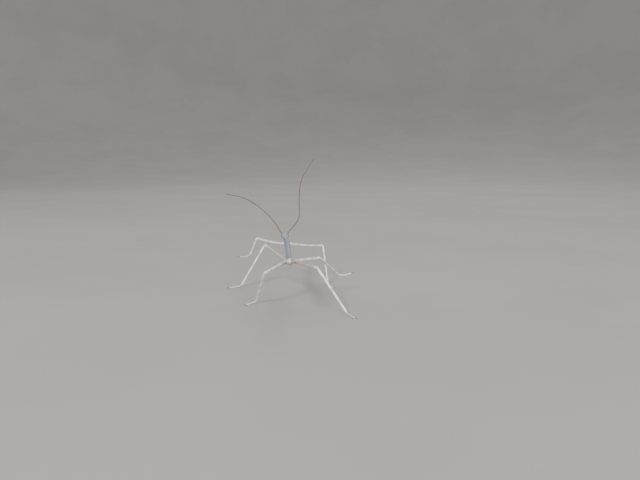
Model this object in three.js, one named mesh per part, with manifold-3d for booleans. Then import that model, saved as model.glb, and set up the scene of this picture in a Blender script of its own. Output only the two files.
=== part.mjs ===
// A slender, long-horned stick insect, walking. Millimetres and degrees.
// +Y is the way it faces, +X is its right side and +Z is up, with the floor at z = 0.
import * as THREE from "three";
import { mergeVertices } from "three/addons/utils/BufferGeometryUtils.js";
import Module from "manifold-3d";

const wasm = await Module();
wasm.setup();

// ---- driving dimensions ----

// Width of the thin cut between one sub-part and the next.
const CUT = 0.16;

// Places along the middle of the body, from the tail to the face.
const SPINE = {
  tailTip: { right: -0.6, forward: -35.5, up: 16.5 },
  midAbdomen: { right: -0.3, forward: -21, up: 14 },
  hindHips: { right: 0, forward: -6.8, up: 11.6 },
  midHips: { right: 0, forward: 0, up: 10.7 },
  midThorax: { right: -0.3, forward: 7, up: 12.4 },
  frontHips: { right: -0.6, forward: 14, up: 14.5 },
  neck: { right: -0.86, forward: 16.4, up: 15.15 },
  face: { right: -1.35, forward: 20.7, up: 16.2 },
};

// Where one body part ends and the next begins, as a distance forward.
const WAIST = -8.2;
const MID_SEAM = -1.3;
const COLLAR = 12.4;
const NECK_SEAM = 16.4;

// Ring shares give each ring's part of the abdomen's length, from the waist to the tail.
const ABDOMEN = {
  ringShares: [0.115, 0.125, 0.125, 0.12, 0.115, 0.105, 0.09, 0.075, 0.07, 0.06],
  ringsPerLength: 2,
  frontRadius: 1.1,
  tailRadius: 0.86,
  belly: 0.1,
  groove: 0.05,
  depth: 0.92,
};
const CERCUS = { length: 1.5, radius: 0.27, spread: 12, apart: 0.46, sunk: 0.525 };
const EYE = { radius: 0.5, width: 0.74, length: 1.15, forward: 18.85, up: 0.2, out: 0.92 };

// The two feelers: each stretch has a length, a bearing from +Y towards +X, and a lift.
const FEELER = {
  socket: 0.42,
  scape: 1.45,
  pedicel: 0.7,
  baseRadius: 0.31,
  tipRadius: 0.23,
  tipCap: 0.18,
  lengths: 3,
  rings: 9,
};
const FEELER_ROOT = { forward: 19.75, apart: 0.76, up: 0.5 };
const FEELER_BENDS = {
  left: [
    { length: 7.5, bearing: -31, lift: 35 },
    { length: 8, bearing: -40, lift: 29 },
    { length: 9, bearing: -41, lift: 18 },
    { length: 8, bearing: -59, lift: 10 },
  ],
  right: [
    { length: 7.4, bearing: 48, lift: 41 },
    { length: 7, bearing: 5, lift: 57 },
    { length: 9, bearing: 11, lift: 49 },
    { length: 9, bearing: 56, lift: 54 },
  ],
};

// One entry for each pair of legs: where it grows, how long each piece is, and how thick.
// The hips stand out from the spine and drop below it. The thigh bows outwards and sags.
const LEG_PAIRS = {
  front: {
    hip: { ...SPINE.frontHips, out: 0.85, drop: 0.5 },
    coxa: { length: 1.5, radius: 0.5 },
    femur: { length: 13.95, radius: 0.39, bow: 0.5, sag: 0.5 },
    tibia: { length: 15.5, radius: 0.31 },
    tarsus: { length: 3.9, radius: 0.27 },
  },
  mid: {
    hip: { ...SPINE.midHips, out: 0.95, drop: 0.15 },
    coxa: { length: 1.5, radius: 0.6 },
    femur: { length: 12.7, radius: 0.5, bow: 0, sag: 0 },
    tibia: { length: 15.35, radius: 0.385 },
    tarsus: { length: 4.1, radius: 0.3 },
  },
  hind: {
    hip: { ...SPINE.hindHips, out: 0.95, drop: 0 },
    coxa: { length: 1.5, radius: 0.6 },
    femur: { length: 12.6, radius: 0.5, bow: 0, sag: 0 },
    tibia: { length: 14.5, radius: 0.385 },
    tarsus: { length: 3.9, radius: 0.3 },
  },
};

// How each leg is held. A bearing runs from +Y towards +X. A leg with no tibia lift is planted.
const LEGS = [
  { pair: "front", side: "left", femur: [-36.5, 1.1], tibia: [-173.3, -12.8], tarsus: [-130, -2] },
  { pair: "front", side: "right", femur: [50.3, -8], tibia: [175.8], tarsus: [163] },
  { pair: "mid", side: "left", femur: [-29.3, 13.5], tibia: [-80.6], tarsus: [-118] },
  { pair: "mid", side: "right", femur: [147.5, 11.5], tibia: [28, -27.9], tarsus: [76, 1] },
  { pair: "hind", side: "left", femur: [-153.1, -4.2], tibia: [-13.8], tarsus: [-137] },
  { pair: "hind", side: "right", femur: [154, 1.1], tibia: [125.2], tarsus: [160] },
];
const SIDES = { left: -1, right: 1 };
const ANKLE_HEIGHT = 0.62;
const SOLE_HEIGHT = 0.2;
// The foot arches at this share of its length, this much above the sole or below a lifted ankle.
const ARCH = { share: 0.42, aboveSole: 0.1, belowAnkle: 0.35 };
// Where the thigh bows most, as a share of its length.
const BOW_SHARE = 0.32;
// Share of the foot's length in each of its five segments, from the ankle out.
const TARSAL_SEGMENTS = [0.38, 0.18, 0.12, 0.1, 0.22];
const CLAW = { length: 0.95, radius: 0.16, spread: 32, arch: 0.12, pad: 0.27, padDepth: 0.16 };

const COLOURS = {
  body: 0x9aa09c,
  thorax: 0x8e959d,
  leg: 0xc9bcba,
  feeler: 0x8f8680,
  eye: 0x3c3128,
  claw: 0x6a5648,
};

// ---- paths that the pieces follow ----

const WORLD_UP = new THREE.Vector3(0, 0, 1);

function frameOn(curve, share, overrun = 0) {
  const along = curve.getTangentAt(share);
  const side = along.clone().cross(WORLD_UP).normalize();
  const up = side.clone().cross(along);
  const origin = curve.getPointAt(share).addScaledVector(along, overrun);
  return { origin, along, side, up };
}

// A place on a limb's path, by its distance from the root. It runs straight on past each end.
function frameByLength(curve) {
  const total = curve.getLength();
  return (distance) => {
    const inside = THREE.MathUtils.clamp(distance, 0, total);
    return frameOn(curve, inside / total, distance - inside);
  };
}

// A place on the spine, by how far forward it is.
function frameByForward(curve) {
  return (forward) => {
    let low = 0;
    let high = 1;
    for (let step = 0; step < 24; step += 1) {
      const middle = (low + high) / 2;
      if (curve.getPointAt(middle).y < forward) low = middle;
      else high = middle;
    }
    const here = frameOn(curve, low);
    here.origin.addScaledVector(here.along, (forward - here.origin.y) / here.along.y);
    return here;
  };
}

function point(place) {
  return new THREE.Vector3(place.right, place.forward, place.up);
}

function heading(bearing, lift) {
  const turn = THREE.MathUtils.degToRad(bearing);
  const rise = THREE.MathUtils.degToRad(lift);
  const level = Math.cos(rise);
  return new THREE.Vector3(Math.sin(turn) * level, Math.cos(turn) * level, Math.sin(rise));
}

const spineCurve = new THREE.CatmullRomCurve3(Object.values(SPINE).map(point));
const onSpine = frameByForward(spineCurve);

// ---- shapes ----

// A solid turned about its own length, flattened by width and depth, and bent along a path.
// The profile is a list of [place on the path, radius]. Keel squares its section a little.
function bentSolid(frameAt, profile, { width = 1, depth = 1, sides = 10, keel = 0, grow = 0 } = {}) {
  const first = profile[0][0] - grow;
  const last = profile[profile.length - 1][0] + grow;
  const outline = profile.map(([place, radius]) => new THREE.Vector2(radius + grow, place));
  outline[0].y = first;
  outline[outline.length - 1].y = last;
  outline.unshift(new THREE.Vector2(0, first));
  outline.push(new THREE.Vector2(0, last));
  const geometry = new THREE.LatheGeometry(outline, sides);
  const vertices = geometry.attributes.position;
  for (let index = 0; index < vertices.count; index += 1) {
    const across = vertices.getX(index);
    const tall = vertices.getZ(index);
    const squared = 1 - keel * Math.cos(4 * Math.atan2(tall, across));
    const { origin, side, up } = frameAt(vertices.getY(index));
    origin.addScaledVector(side, across * width * squared);
    origin.addScaledVector(up, tall * depth * squared);
    vertices.setXYZ(index, origin.x, origin.y, origin.z);
  }
  return toSolid(geometry);
}

function ellipsoid(centre, radii, sides = 12, rings = 8) {
  const geometry = new THREE.SphereGeometry(1, sides, rings);
  geometry.scale(radii.x, radii.y, radii.z);
  geometry.translate(centre.x, centre.y, centre.z);
  return toSolid(geometry);
}

function toSolid(geometry) {
  geometry.deleteAttribute("normal");
  geometry.deleteAttribute("uv");
  const welded = mergeVertices(geometry, 1e-4);
  const vertProperties = Float32Array.from(welded.attributes.position.array);
  const triVerts = Uint32Array.from(welded.index.array);
  return new wasm.Manifold(new wasm.Mesh({ numProp: 3, vertProperties, triVerts }));
}

function largestOf(solid) {
  return solid.decompose().sort((a, b) => b.volume() - a.volume())[0];
}

const insect = new THREE.Group();

function addPart(name, solid, colour, roughness = 0.6) {
  const { vertProperties, triVerts } = solid.getMesh();
  const geometry = new THREE.BufferGeometry();
  geometry.setAttribute("position", new THREE.BufferAttribute(vertProperties, 3));
  geometry.setIndex(new THREE.BufferAttribute(triVerts, 1));
  const faceted = geometry.toNonIndexed();
  faceted.computeVertexNormals();
  const material = new THREE.MeshStandardMaterial({ color: colour, roughness, metalness: 0 });
  const mesh = new THREE.Mesh(faceted, material);
  mesh.name = name;
  insect.add(mesh);
}

// ---- thorax and abdomen ----

function span(start, end, shares) {
  const from = start + CUT / 2;
  const to = end - CUT / 2;
  return shares.map(([share, radius]) => [from + (to - from) * share, radius]);
}

const THORAX = {
  metathorax: {
    profile: span(WAIST, MID_SEAM, [
      [0, 1.02], [0.08, 1.1], [0.3, 1.08], [0.55, 0.93], [0.85, 0.9], [1, 0.86],
    ]),
    shape: { width: 1, depth: 0.92, sides: 14 },
  },
  mesothorax: {
    profile: span(MID_SEAM, COLLAR, [
      [0, 0.9], [0.04, 1.04], [0.13, 1.04], [0.22, 0.9], [0.4, 0.82], [0.6, 0.8], [0.85, 0.83], [0.95, 0.88],
      [1, 0.78],
    ]),
    shape: { width: 1, depth: 0.94, sides: 14 },
  },
  prothorax: {
    profile: span(COLLAR, NECK_SEAM, [
      [0, 0.8], [0.1, 0.94], [0.45, 0.98], [0.8, 0.88], [0.95, 0.78], [1, 0.64],
    ]),
    shape: { width: 1, depth: 0.88, sides: 14 },
  },
};

function thoraxSolid(name, grow = 0) {
  const { profile, shape } = THORAX[name];
  return bentSolid(onSpine, profile, { ...shape, grow });
}

function addThorax() {
  for (const name of Object.keys(THORAX)) addPart(name, thoraxSolid(name), COLOURS.thorax);
}

const TAIL_END = SPINE.tailTip.forward + CERCUS.sunk;

// The tail rounds off over its last tenth, as part of an ellipse a little longer than that.
const TAIL_ROUNDING = { from: 0.9, reach: 0.125 };

// How thick the abdomen is: a slight belly, a taper, and a rounded tail.
function abdomenRadius(forward) {
  const share = (WAIST - forward) / (WAIST - TAIL_END);
  const { frontRadius, tailRadius, belly } = ABDOMEN;
  const taper = THREE.MathUtils.lerp(frontRadius, tailRadius, share ** 1.4);
  const pastShoulder = Math.max(0, share - TAIL_ROUNDING.from) / TAIL_ROUNDING.reach;
  return (taper + belly * Math.sin(Math.PI * share)) * Math.sqrt(1 - pastShoulder ** 2);
}

// Where one ring ends and the next begins, from the waist to the tail.
function ringEdges() {
  const edges = [WAIST];
  for (const share of ABDOMEN.ringShares) edges.push(edges[edges.length - 1] - share * (WAIST - TAIL_END));
  return edges;
}

// A ring dips at both its ends, so that it meets the next in a groove.
function ringProfile(back, front) {
  const shape = [[0, 1], [0.14, 0], [0.6, 0], [0.94, 0.6]];
  return shape.map(([share, dip]) => {
    const place = THREE.MathUtils.lerp(back, front, share);
    return [place, abdomenRadius(place) - ABDOMEN.groove * dip];
  });
}

// Each named length of the abdomen holds two rings.
function addAbdomen() {
  const edges = ringEdges();
  const { ringShares, ringsPerLength, groove, depth } = ABDOMEN;
  for (let first = 0; first < ringShares.length; first += ringsPerLength) {
    const front = edges[first] - CUT / 2;
    const middle = edges[first + 1];
    const back = edges[first + ringsPerLength] + CUT / 2;
    const profile = [...ringProfile(back, middle), ...ringProfile(middle, front)];
    profile.push([front, abdomenRadius(front) - groove]);
    const number = first / ringsPerLength + 1;
    addPart(`abdomen_${number}`, bentSolid(onSpine, profile, { depth, sides: 12 }), COLOURS.body);
  }
}

function addCerci() {
  const root = onSpine(TAIL_END);
  for (const [name, side] of Object.entries(SIDES)) {
    const start = root.origin.clone().addScaledVector(root.side, side * CERCUS.apart);
    start.addScaledVector(root.along, -CUT * 1.2);
    const out = root.along.clone().negate();
    out.applyAxisAngle(root.up, THREE.MathUtils.degToRad(side * CERCUS.spread));
    const path = new THREE.LineCurve3(start, start.clone().addScaledVector(out, CERCUS.length));
    const radius = CERCUS.radius;
    const profile = [[0, radius * 0.8], [0.3, radius], [0.9, radius * 0.85], [CERCUS.length, radius * 0.4]];
    addPart(`cercus_${name}`, bentSolid(frameByLength(path), profile, { sides: 8 }), COLOURS.body);
  }
}

// ---- head ----

const HEAD = {
  profile: [
    [16.48, 0.66], [16.7, 0.86], [17.3, 1.04], [18.2, 1.12], [19, 1.12], [19.6, 1.02], [20.1, 0.84],
    [20.5, 0.6], [20.7, 0.34],
  ],
  shape: { width: 1, depth: 0.84, sides: 16 },
  jaw: { forward: 20.15, drop: 0.62, radii: { x: 0.62, y: 0.62, z: 0.5 } },
};

function headSolid(grow = 0) {
  return bentSolid(onSpine, HEAD.profile, { ...HEAD.shape, grow });
}

function eyeCentre(side) {
  const { origin, side: right, up } = onSpine(EYE.forward);
  return origin.addScaledVector(right, side * EYE.out).addScaledVector(up, EYE.up);
}

function eyeSolid(side, grow = 0) {
  const radius = EYE.radius + grow;
  return ellipsoid(eyeCentre(side), { x: radius * EYE.width, y: radius * EYE.length, z: radius }, 12, 8);
}

function feelerRoot(side) {
  const { origin, side: right, up } = onSpine(FEELER_ROOT.forward);
  return origin.addScaledVector(right, side * FEELER_ROOT.apart).addScaledVector(up, FEELER_ROOT.up);
}

function socketSolid(side, grow = 0) {
  const radius = FEELER.socket + grow;
  return ellipsoid(feelerRoot(side), { x: radius, y: radius, z: radius }, 10, 6);
}

function jawSolid(grow = 0) {
  const { origin, up } = onSpine(HEAD.jaw.forward);
  const { x, y, z } = HEAD.jaw.radii;
  const centre = origin.addScaledVector(up, -HEAD.jaw.drop);
  return ellipsoid(centre, { x: x + grow, y: y + grow, z: z + grow }, 12, 8);
}

function addHead() {
  let head = headSolid();
  for (const side of [-1, 1]) head = head.add(socketSolid(side)).subtract(eyeSolid(side, CUT * 0.75));
  addPart("head", largestOf(head), COLOURS.thorax);
  for (const [name, side] of Object.entries(SIDES)) {
    addPart(`eye_${name}`, eyeSolid(side), COLOURS.eye, 0.3);
  }
  addPart("mouthparts", largestOf(jawSolid().subtract(headSolid(CUT))), COLOURS.thorax);
}

// The two jointed palps, one at each side of the jaws. Their knots stand off from the jaws'
// place on the spine. Each pair of the profile is a share of the length and a radius.
const PALP = {
  knots: [
    { out: 0.55, up: -0.75, forward: -0.1 },
    { out: 0.95, up: -1.15, forward: 0.35 },
    { out: 0.75, up: -1.45, forward: 0.95 },
  ],
  profile: [[0, 0.22], [0.45, 0.25], [0.55, 0.21], [0.85, 0.24], [1, 0.14]],
};

function addPalps() {
  const jawPlace = onSpine(HEAD.jaw.forward);
  const jaw = jawSolid(CUT);
  const skull = headSolid(CUT);
  for (const [name, side] of Object.entries(SIDES)) {
    const knots = PALP.knots.map(({ out, up, forward }) => {
      const knot = jawPlace.origin.clone().addScaledVector(jawPlace.side, side * out);
      return knot.addScaledVector(jawPlace.up, up).addScaledVector(jawPlace.along, forward);
    });
    const path = new THREE.CatmullRomCurve3(knots);
    const total = path.getLength();
    const profile = PALP.profile.map(([share, radius]) => [share * total, radius]);
    const palp = bentSolid(frameByLength(path), profile, { sides: 8 });
    addPart(`palp_${name}`, largestOf(palp.subtract(jaw).subtract(skull)), COLOURS.leg);
  }
}

// ---- feelers ----

function feelerPath(name, side) {
  const knots = [feelerRoot(side)];
  for (const bend of FEELER_BENDS[name]) {
    const from = knots[knots.length - 1];
    knots.push(from.clone().addScaledVector(heading(bend.bearing, bend.lift), bend.length));
  }
  return new THREE.CatmullRomCurve3(knots);
}

// The thick first joint and the short second one, up to where the whip begins.
function feelerBaseProfile() {
  const { scape, pedicel } = FEELER;
  return [
    [0.1, 0.26], [0.5, 0.4], [scape - 0.15, 0.38], [scape, 0.27], [scape + 0.2, 0.32], [scape + pedicel, 0.3],
  ];
}

// One length of the whip, which thins towards the tip.
function whipProfile(from, to, total, last) {
  const { baseRadius, tipRadius, rings, tipCap } = FEELER;
  const profile = [];
  for (let ring = 0; ring <= rings; ring += 1) {
    const distance = THREE.MathUtils.lerp(from, to, ring / rings);
    profile.push([distance, THREE.MathUtils.lerp(baseRadius, tipRadius, (distance / total) ** 0.6)]);
  }
  if (last) profile.push([to + tipCap, tipRadius * 0.4]);
  return profile;
}

function addFeelers() {
  const { scape, pedicel, lengths } = FEELER;
  for (const [name, side] of Object.entries(SIDES)) {
    const path = feelerPath(name, side);
    const total = path.getLength();
    const place = frameByLength(path);
    let base = bentSolid(place, feelerBaseProfile(), { sides: 8 });
    for (const neighbour of [headSolid(CUT), socketSolid(side, CUT), eyeSolid(side, CUT)]) {
      base = base.subtract(neighbour);
    }
    addPart(`antenna_${name}_base`, largestOf(base), COLOURS.feeler);
    const baseEnd = scape + pedicel;
    const step = (total - baseEnd) / lengths;
    for (let length = 0; length < lengths; length += 1) {
      const from = baseEnd + step * length + CUT;
      const to = baseEnd + step * (length + 1);
      const profile = whipProfile(from, to, total, length === lengths - 1);
      addPart(`antenna_${name}_${length + 1}`, bentSolid(place, profile, { sides: 6 }), COLOURS.feeler);
    }
  }
}

// ---- legs ----

function thighPath(leg, pair) {
  const { hip, coxa, femur } = pair;
  const start = point(hip);
  start.x += SIDES[leg.side] * hip.out;
  start.z -= hip.drop;
  const reach = coxa.length + femur.length;
  const knee = start.clone().addScaledVector(heading(...leg.femur), reach);
  const outAndBack = heading(leg.femur[0] + SIDES[leg.side] * 90, 0);
  const middle = start.clone().lerp(knee, BOW_SHARE).addScaledVector(outAndBack, femur.bow);
  middle.z -= femur.sag;
  return new THREE.QuadraticBezierCurve3(start, middle, knee);
}

function isPlanted(leg) {
  return leg.tibia.length === 1;
}

function ankleOf(leg, pair, knee) {
  const { length } = pair.tibia;
  const drop = THREE.MathUtils.radToDeg(Math.asin((ANKLE_HEIGHT - knee.z) / length));
  return knee.clone().addScaledVector(heading(leg.tibia[0], isPlanted(leg) ? drop : leg.tibia[1]), length);
}

// A planted foot drops from the ankle to the floor and runs along it. A lifted one arches.
function footPath(leg, pair, ankle) {
  const planted = isPlanted(leg);
  const way = heading(leg.tarsus[0], planted ? 0 : leg.tarsus[1]);
  const toe = ankle.clone().addScaledVector(way, pair.tarsus.length);
  const arch = ankle.clone().lerp(toe, ARCH.share);
  if (planted) {
    arch.z = SOLE_HEIGHT + ARCH.aboveSole;
    toe.z = SOLE_HEIGHT;
  } else {
    arch.z -= ARCH.belowAnkle;
  }
  return new THREE.CatmullRomCurve3([ankle, arch, toe]);
}

function thighProfiles(pair, total) {
  const { coxa, femur } = pair;
  const r = femur.radius;
  const seam = coxa.length;
  return {
    coxa: [
      [-0.5, coxa.radius], [0.2, coxa.radius], [seam * 0.7, coxa.radius * 0.86],
      [seam - CUT / 2, coxa.radius * 0.7],
    ],
    femur: [
      [seam + CUT / 2, r * 0.92], [seam + 0.5, r * 1.08], [seam + 1.1, r * 0.96], [total * 0.3, r * 1.04],
      [total * 0.6, r], [total - 1.4, r * 0.9], [total - 0.6, r * 1.06], [total, r * 1.05],
      [total + r * 0.7, r * 0.55],
    ],
  };
}

function tibiaProfile(pair) {
  const { length, radius: r } = pair.tibia;
  return [
    [-r * 0.5, r * 0.7], [r, r * 0.95], [1, r], [length * 0.3, r * 0.92], [length * 0.7, r * 0.86],
    [length - 0.9, r * 0.92], [length - 0.2, r * 1.08], [length, r * 0.8],
  ];
}

function tarsusProfile(pair, total) {
  const r = pair.tarsus.radius;
  const profile = [[0, r * 0.75]];
  let from = 0;
  for (const share of TARSAL_SEGMENTS) {
    const to = from + share * total;
    if (from > 0) profile.push([from + 0.04, r * 0.84]);
    profile.push([to - 0.12, r * 1.08]);
    from = to;
  }
  profile.push([total, r * 0.8]);
  return profile;
}

const FEMUR_SHAPE = { sides: 8, keel: 0.05, depth: 1.08, width: 0.94 };
const TIBIA_SHAPE = { sides: 8, keel: 0.05 };
const TARSUS_SHAPE = { sides: 6 };
const FLOOR = { normal: [0, 0, 1], height: 0 };

function aboveFloor(solid) {
  return solid.trimByPlane(FLOOR.normal, FLOOR.height);
}

// Two hooked claws with a soft pad between them, at the end of the foot.
function clawSolid(footEnd) {
  const { origin, along, side, up } = footEnd;
  const centre = origin.clone().addScaledVector(along, CLAW.pad * 0.6);
  let claws = ellipsoid(centre, { x: CLAW.pad, y: CLAW.pad, z: CLAW.padDepth }, 8, 4);
  for (const turn of [-1, 1]) {
    const out = along.clone().applyAxisAngle(up, THREE.MathUtils.degToRad(turn * CLAW.spread));
    const root = centre.clone().addScaledVector(side, -turn * 0.05);
    const knuckle = root.clone().addScaledVector(out, CLAW.length * 0.6).addScaledVector(up, CLAW.arch);
    const tip = root.clone().addScaledVector(out, CLAW.length).addScaledVector(up, -0.02);
    const hook = new THREE.QuadraticBezierCurve3(root, knuckle, tip);
    const { radius } = CLAW;
    const profile = [[0, radius], [0.4, radius], [0.75, radius * 0.7], [hook.getLength(), radius * 0.35]];
    claws = claws.add(bentSolid(frameByLength(hook), profile, { sides: 6 }));
  }
  return claws;
}

const SEGMENT_OF_PAIR = { front: "prothorax", mid: "mesothorax", hind: "metathorax" };

function addLeg(leg) {
  const name = `${leg.pair}_${leg.side}`;
  const pair = LEG_PAIRS[leg.pair];
  const thigh = thighPath(leg, pair);
  const onThigh = frameByLength(thigh);
  const profiles = thighProfiles(pair, thigh.getLength());
  const body = thoraxSolid(SEGMENT_OF_PAIR[leg.pair], CUT);

  const coxa = bentSolid(onThigh, profiles.coxa, { sides: 10 }).subtract(body);
  addPart(`coxa_${name}`, largestOf(coxa), COLOURS.leg);
  addPart(`femur_${name}`, bentSolid(onThigh, profiles.femur, FEMUR_SHAPE), COLOURS.leg);

  const knee = thigh.getPoint(1);
  const ankle = ankleOf(leg, pair, knee);
  const onShin = frameByLength(new THREE.LineCurve3(knee, ankle));
  const femurTool = bentSolid(onThigh, profiles.femur, { ...FEMUR_SHAPE, grow: CUT });
  const tibia = bentSolid(onShin, tibiaProfile(pair), TIBIA_SHAPE).subtract(femurTool);
  addPart(`tibia_${name}`, largestOf(tibia), COLOURS.leg);

  const foot = footPath(leg, pair, ankle);
  const footLength = foot.getLength();
  const onFoot = frameByLength(foot);
  const tibiaTool = bentSolid(onShin, tibiaProfile(pair), { ...TIBIA_SHAPE, grow: CUT });
  const tarsusOutline = tarsusProfile(pair, footLength);
  const tarsus = aboveFloor(bentSolid(onFoot, tarsusOutline, TARSUS_SHAPE).subtract(tibiaTool));
  addPart(`tarsus_${name}`, largestOf(tarsus), COLOURS.leg);

  const tarsusTool = bentSolid(onFoot, tarsusOutline, { ...TARSUS_SHAPE, grow: CUT });
  const claws = aboveFloor(clawSolid(onFoot(footLength + CUT)).subtract(tarsusTool));
  addPart(`claws_${name}`, largestOf(claws), COLOURS.claw);
}

addThorax();
addAbdomen();
addCerci();
addHead();
addPalps();
addFeelers();
for (const leg of LEGS) addLeg(leg);

// Stand the insect with the middle of its own outline over the origin.
const outline = new THREE.Box3().setFromObject(insect);
const middle = outline.getCenter(new THREE.Vector3());
insect.position.set(-middle.x, -middle.y, 0);

export default insect;
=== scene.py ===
"""Finish of the stick insect: one skin over its solids, its eyes and its claws, in soft light.

Pieces are modelled straight, in millimetres, in the insect's own frame: +Y is the way it
faces, +X its right side and +Z is up. Each limb is then bent along its path, all the flesh is
joined into one skin, and the whole is shrunk to metres where the solids stand.
"""

import logging
import math
import random
from contextlib import contextmanager
from dataclasses import dataclass, field, replace
from enum import Enum
from typing import Callable, ClassVar, Iterator, Optional, Sequence, Union

import bpy
from mathutils import Matrix, Vector
from mathutils.geometry import interpolate_bezier
from mathutils.kdtree import KDTree


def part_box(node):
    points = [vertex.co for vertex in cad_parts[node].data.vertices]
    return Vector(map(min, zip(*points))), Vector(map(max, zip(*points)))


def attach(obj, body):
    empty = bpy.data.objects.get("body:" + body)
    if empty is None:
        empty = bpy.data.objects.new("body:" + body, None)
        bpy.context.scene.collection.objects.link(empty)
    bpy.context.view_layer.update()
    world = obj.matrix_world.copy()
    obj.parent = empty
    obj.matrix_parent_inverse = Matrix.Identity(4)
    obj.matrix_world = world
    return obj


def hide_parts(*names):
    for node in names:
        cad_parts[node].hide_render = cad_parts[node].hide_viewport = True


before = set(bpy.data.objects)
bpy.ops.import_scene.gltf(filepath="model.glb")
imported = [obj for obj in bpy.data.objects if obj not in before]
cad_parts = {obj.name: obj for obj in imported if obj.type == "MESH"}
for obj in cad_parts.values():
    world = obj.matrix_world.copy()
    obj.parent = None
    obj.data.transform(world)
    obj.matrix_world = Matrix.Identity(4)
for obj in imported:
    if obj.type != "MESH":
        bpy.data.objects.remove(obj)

log = logging.getLogger("stick_insect")

METRES_PER_MM = 0.001
UP = Vector((0.0, 0.0, 1.0))
SIDES = {"left": -1, "right": 1}


# ---- working with operators ----


def deselect_all() -> None:
    """Leaves nothing selected, so that an operator acts only on what is picked next."""
    bpy.ops.object.select_all(action="DESELECT")


def activate(piece: bpy.types.Object) -> None:
    """Selects one piece alone and makes it the active one.

    Args:
        piece: The object to work on.
    """
    deselect_all()
    piece.select_set(True)
    bpy.context.view_layer.objects.active = piece


@contextmanager
def editing(
    piece: bpy.types.Object, picked: Optional[Callable[[bpy.types.MeshVertex], bool]] = None
) -> Iterator[None]:
    """Opens a piece in edit mode with some of its vertices selected, and closes it again.

    Args:
        piece: The mesh to edit.
        picked: Says whether a vertex is selected. All are when it is left out.
    """
    activate(piece)
    mesh = piece.data
    mesh.polygons.foreach_set("select", [False] * len(mesh.polygons))
    mesh.edges.foreach_set("select", [False] * len(mesh.edges))
    mesh.vertices.foreach_set("select", [picked is None or picked(v) for v in mesh.vertices])
    bpy.ops.object.mode_set(mode="EDIT")
    bpy.ops.mesh.select_mode(type="VERT")
    yield
    bpy.ops.object.mode_set(mode="OBJECT")


def apply_modifier(piece: bpy.types.Object, kind: str, **settings: object) -> None:
    """Adds one modifier to a piece and applies it.

    Args:
        piece: The mesh to change.
        kind: The modifier's type.
        **settings: Its properties.
    """
    activate(piece)
    modifier = piece.modifiers.new(kind.lower(), kind)
    for name, value in settings.items():
        setattr(modifier, name, value)
    bpy.ops.object.modifier_apply(modifier=modifier.name)


def apply_placing(piece: bpy.types.Object) -> None:
    """Puts a piece's place, turn and size into its mesh.

    Args:
        piece: The object whose transform becomes plain.
    """
    activate(piece)
    bpy.ops.object.transform_apply(location=True, rotation=True, scale=True)


def join(name: str, pieces: Sequence[bpy.types.Object]) -> bpy.types.Object:
    """Makes one object of several without welding them.

    Args:
        name: The name that the joined object takes.
        pieces: The objects, of which the first stays.

    Returns:
        The joined object.
    """
    activate(pieces[0])
    for piece in pieces:
        piece.select_set(True)
    bpy.ops.object.join()
    pieces[0].name = name
    return pieces[0]


# ---- paths and places ----


@dataclass(frozen=True)
class Place:
    """A spot on a path, with the three directions that a piece there is turned by."""

    origin: Vector
    along: Vector
    side: Vector
    up: Vector

    def at(self, right: float = 0.0, forward: float = 0.0, rise: float = 0.0) -> Vector:
        """Gives a point that stands off from this place.

        Args:
            right: Distance to the side.
            forward: Distance along the path.
            rise: Distance upwards.

        Returns:
            The point.
        """
        return self.origin + self.side * right + self.along * forward + self.up * rise

    def matrix(self, centre: Optional[Vector] = None) -> Matrix:
        """Turns a piece modelled along +Y so that it runs along the path.

        Args:
            centre: Where the piece goes, if not at this place.

        Returns:
            The turn and the move together.
        """
        turn = Matrix((self.side, self.along, self.up)).transposed().to_4x4()
        return Matrix.Translation(centre if centre else self.origin) @ turn


def place_facing(origin: Vector, along: Vector) -> Place:
    """Makes a place from a point and a direction, level from side to side.

    Args:
        origin: The point.
        along: The direction, of any length.

    Returns:
        The place.
    """
    forward = along.normalized()
    side = forward.cross(UP).normalized()
    return Place(origin, forward, side, side.cross(forward))


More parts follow.
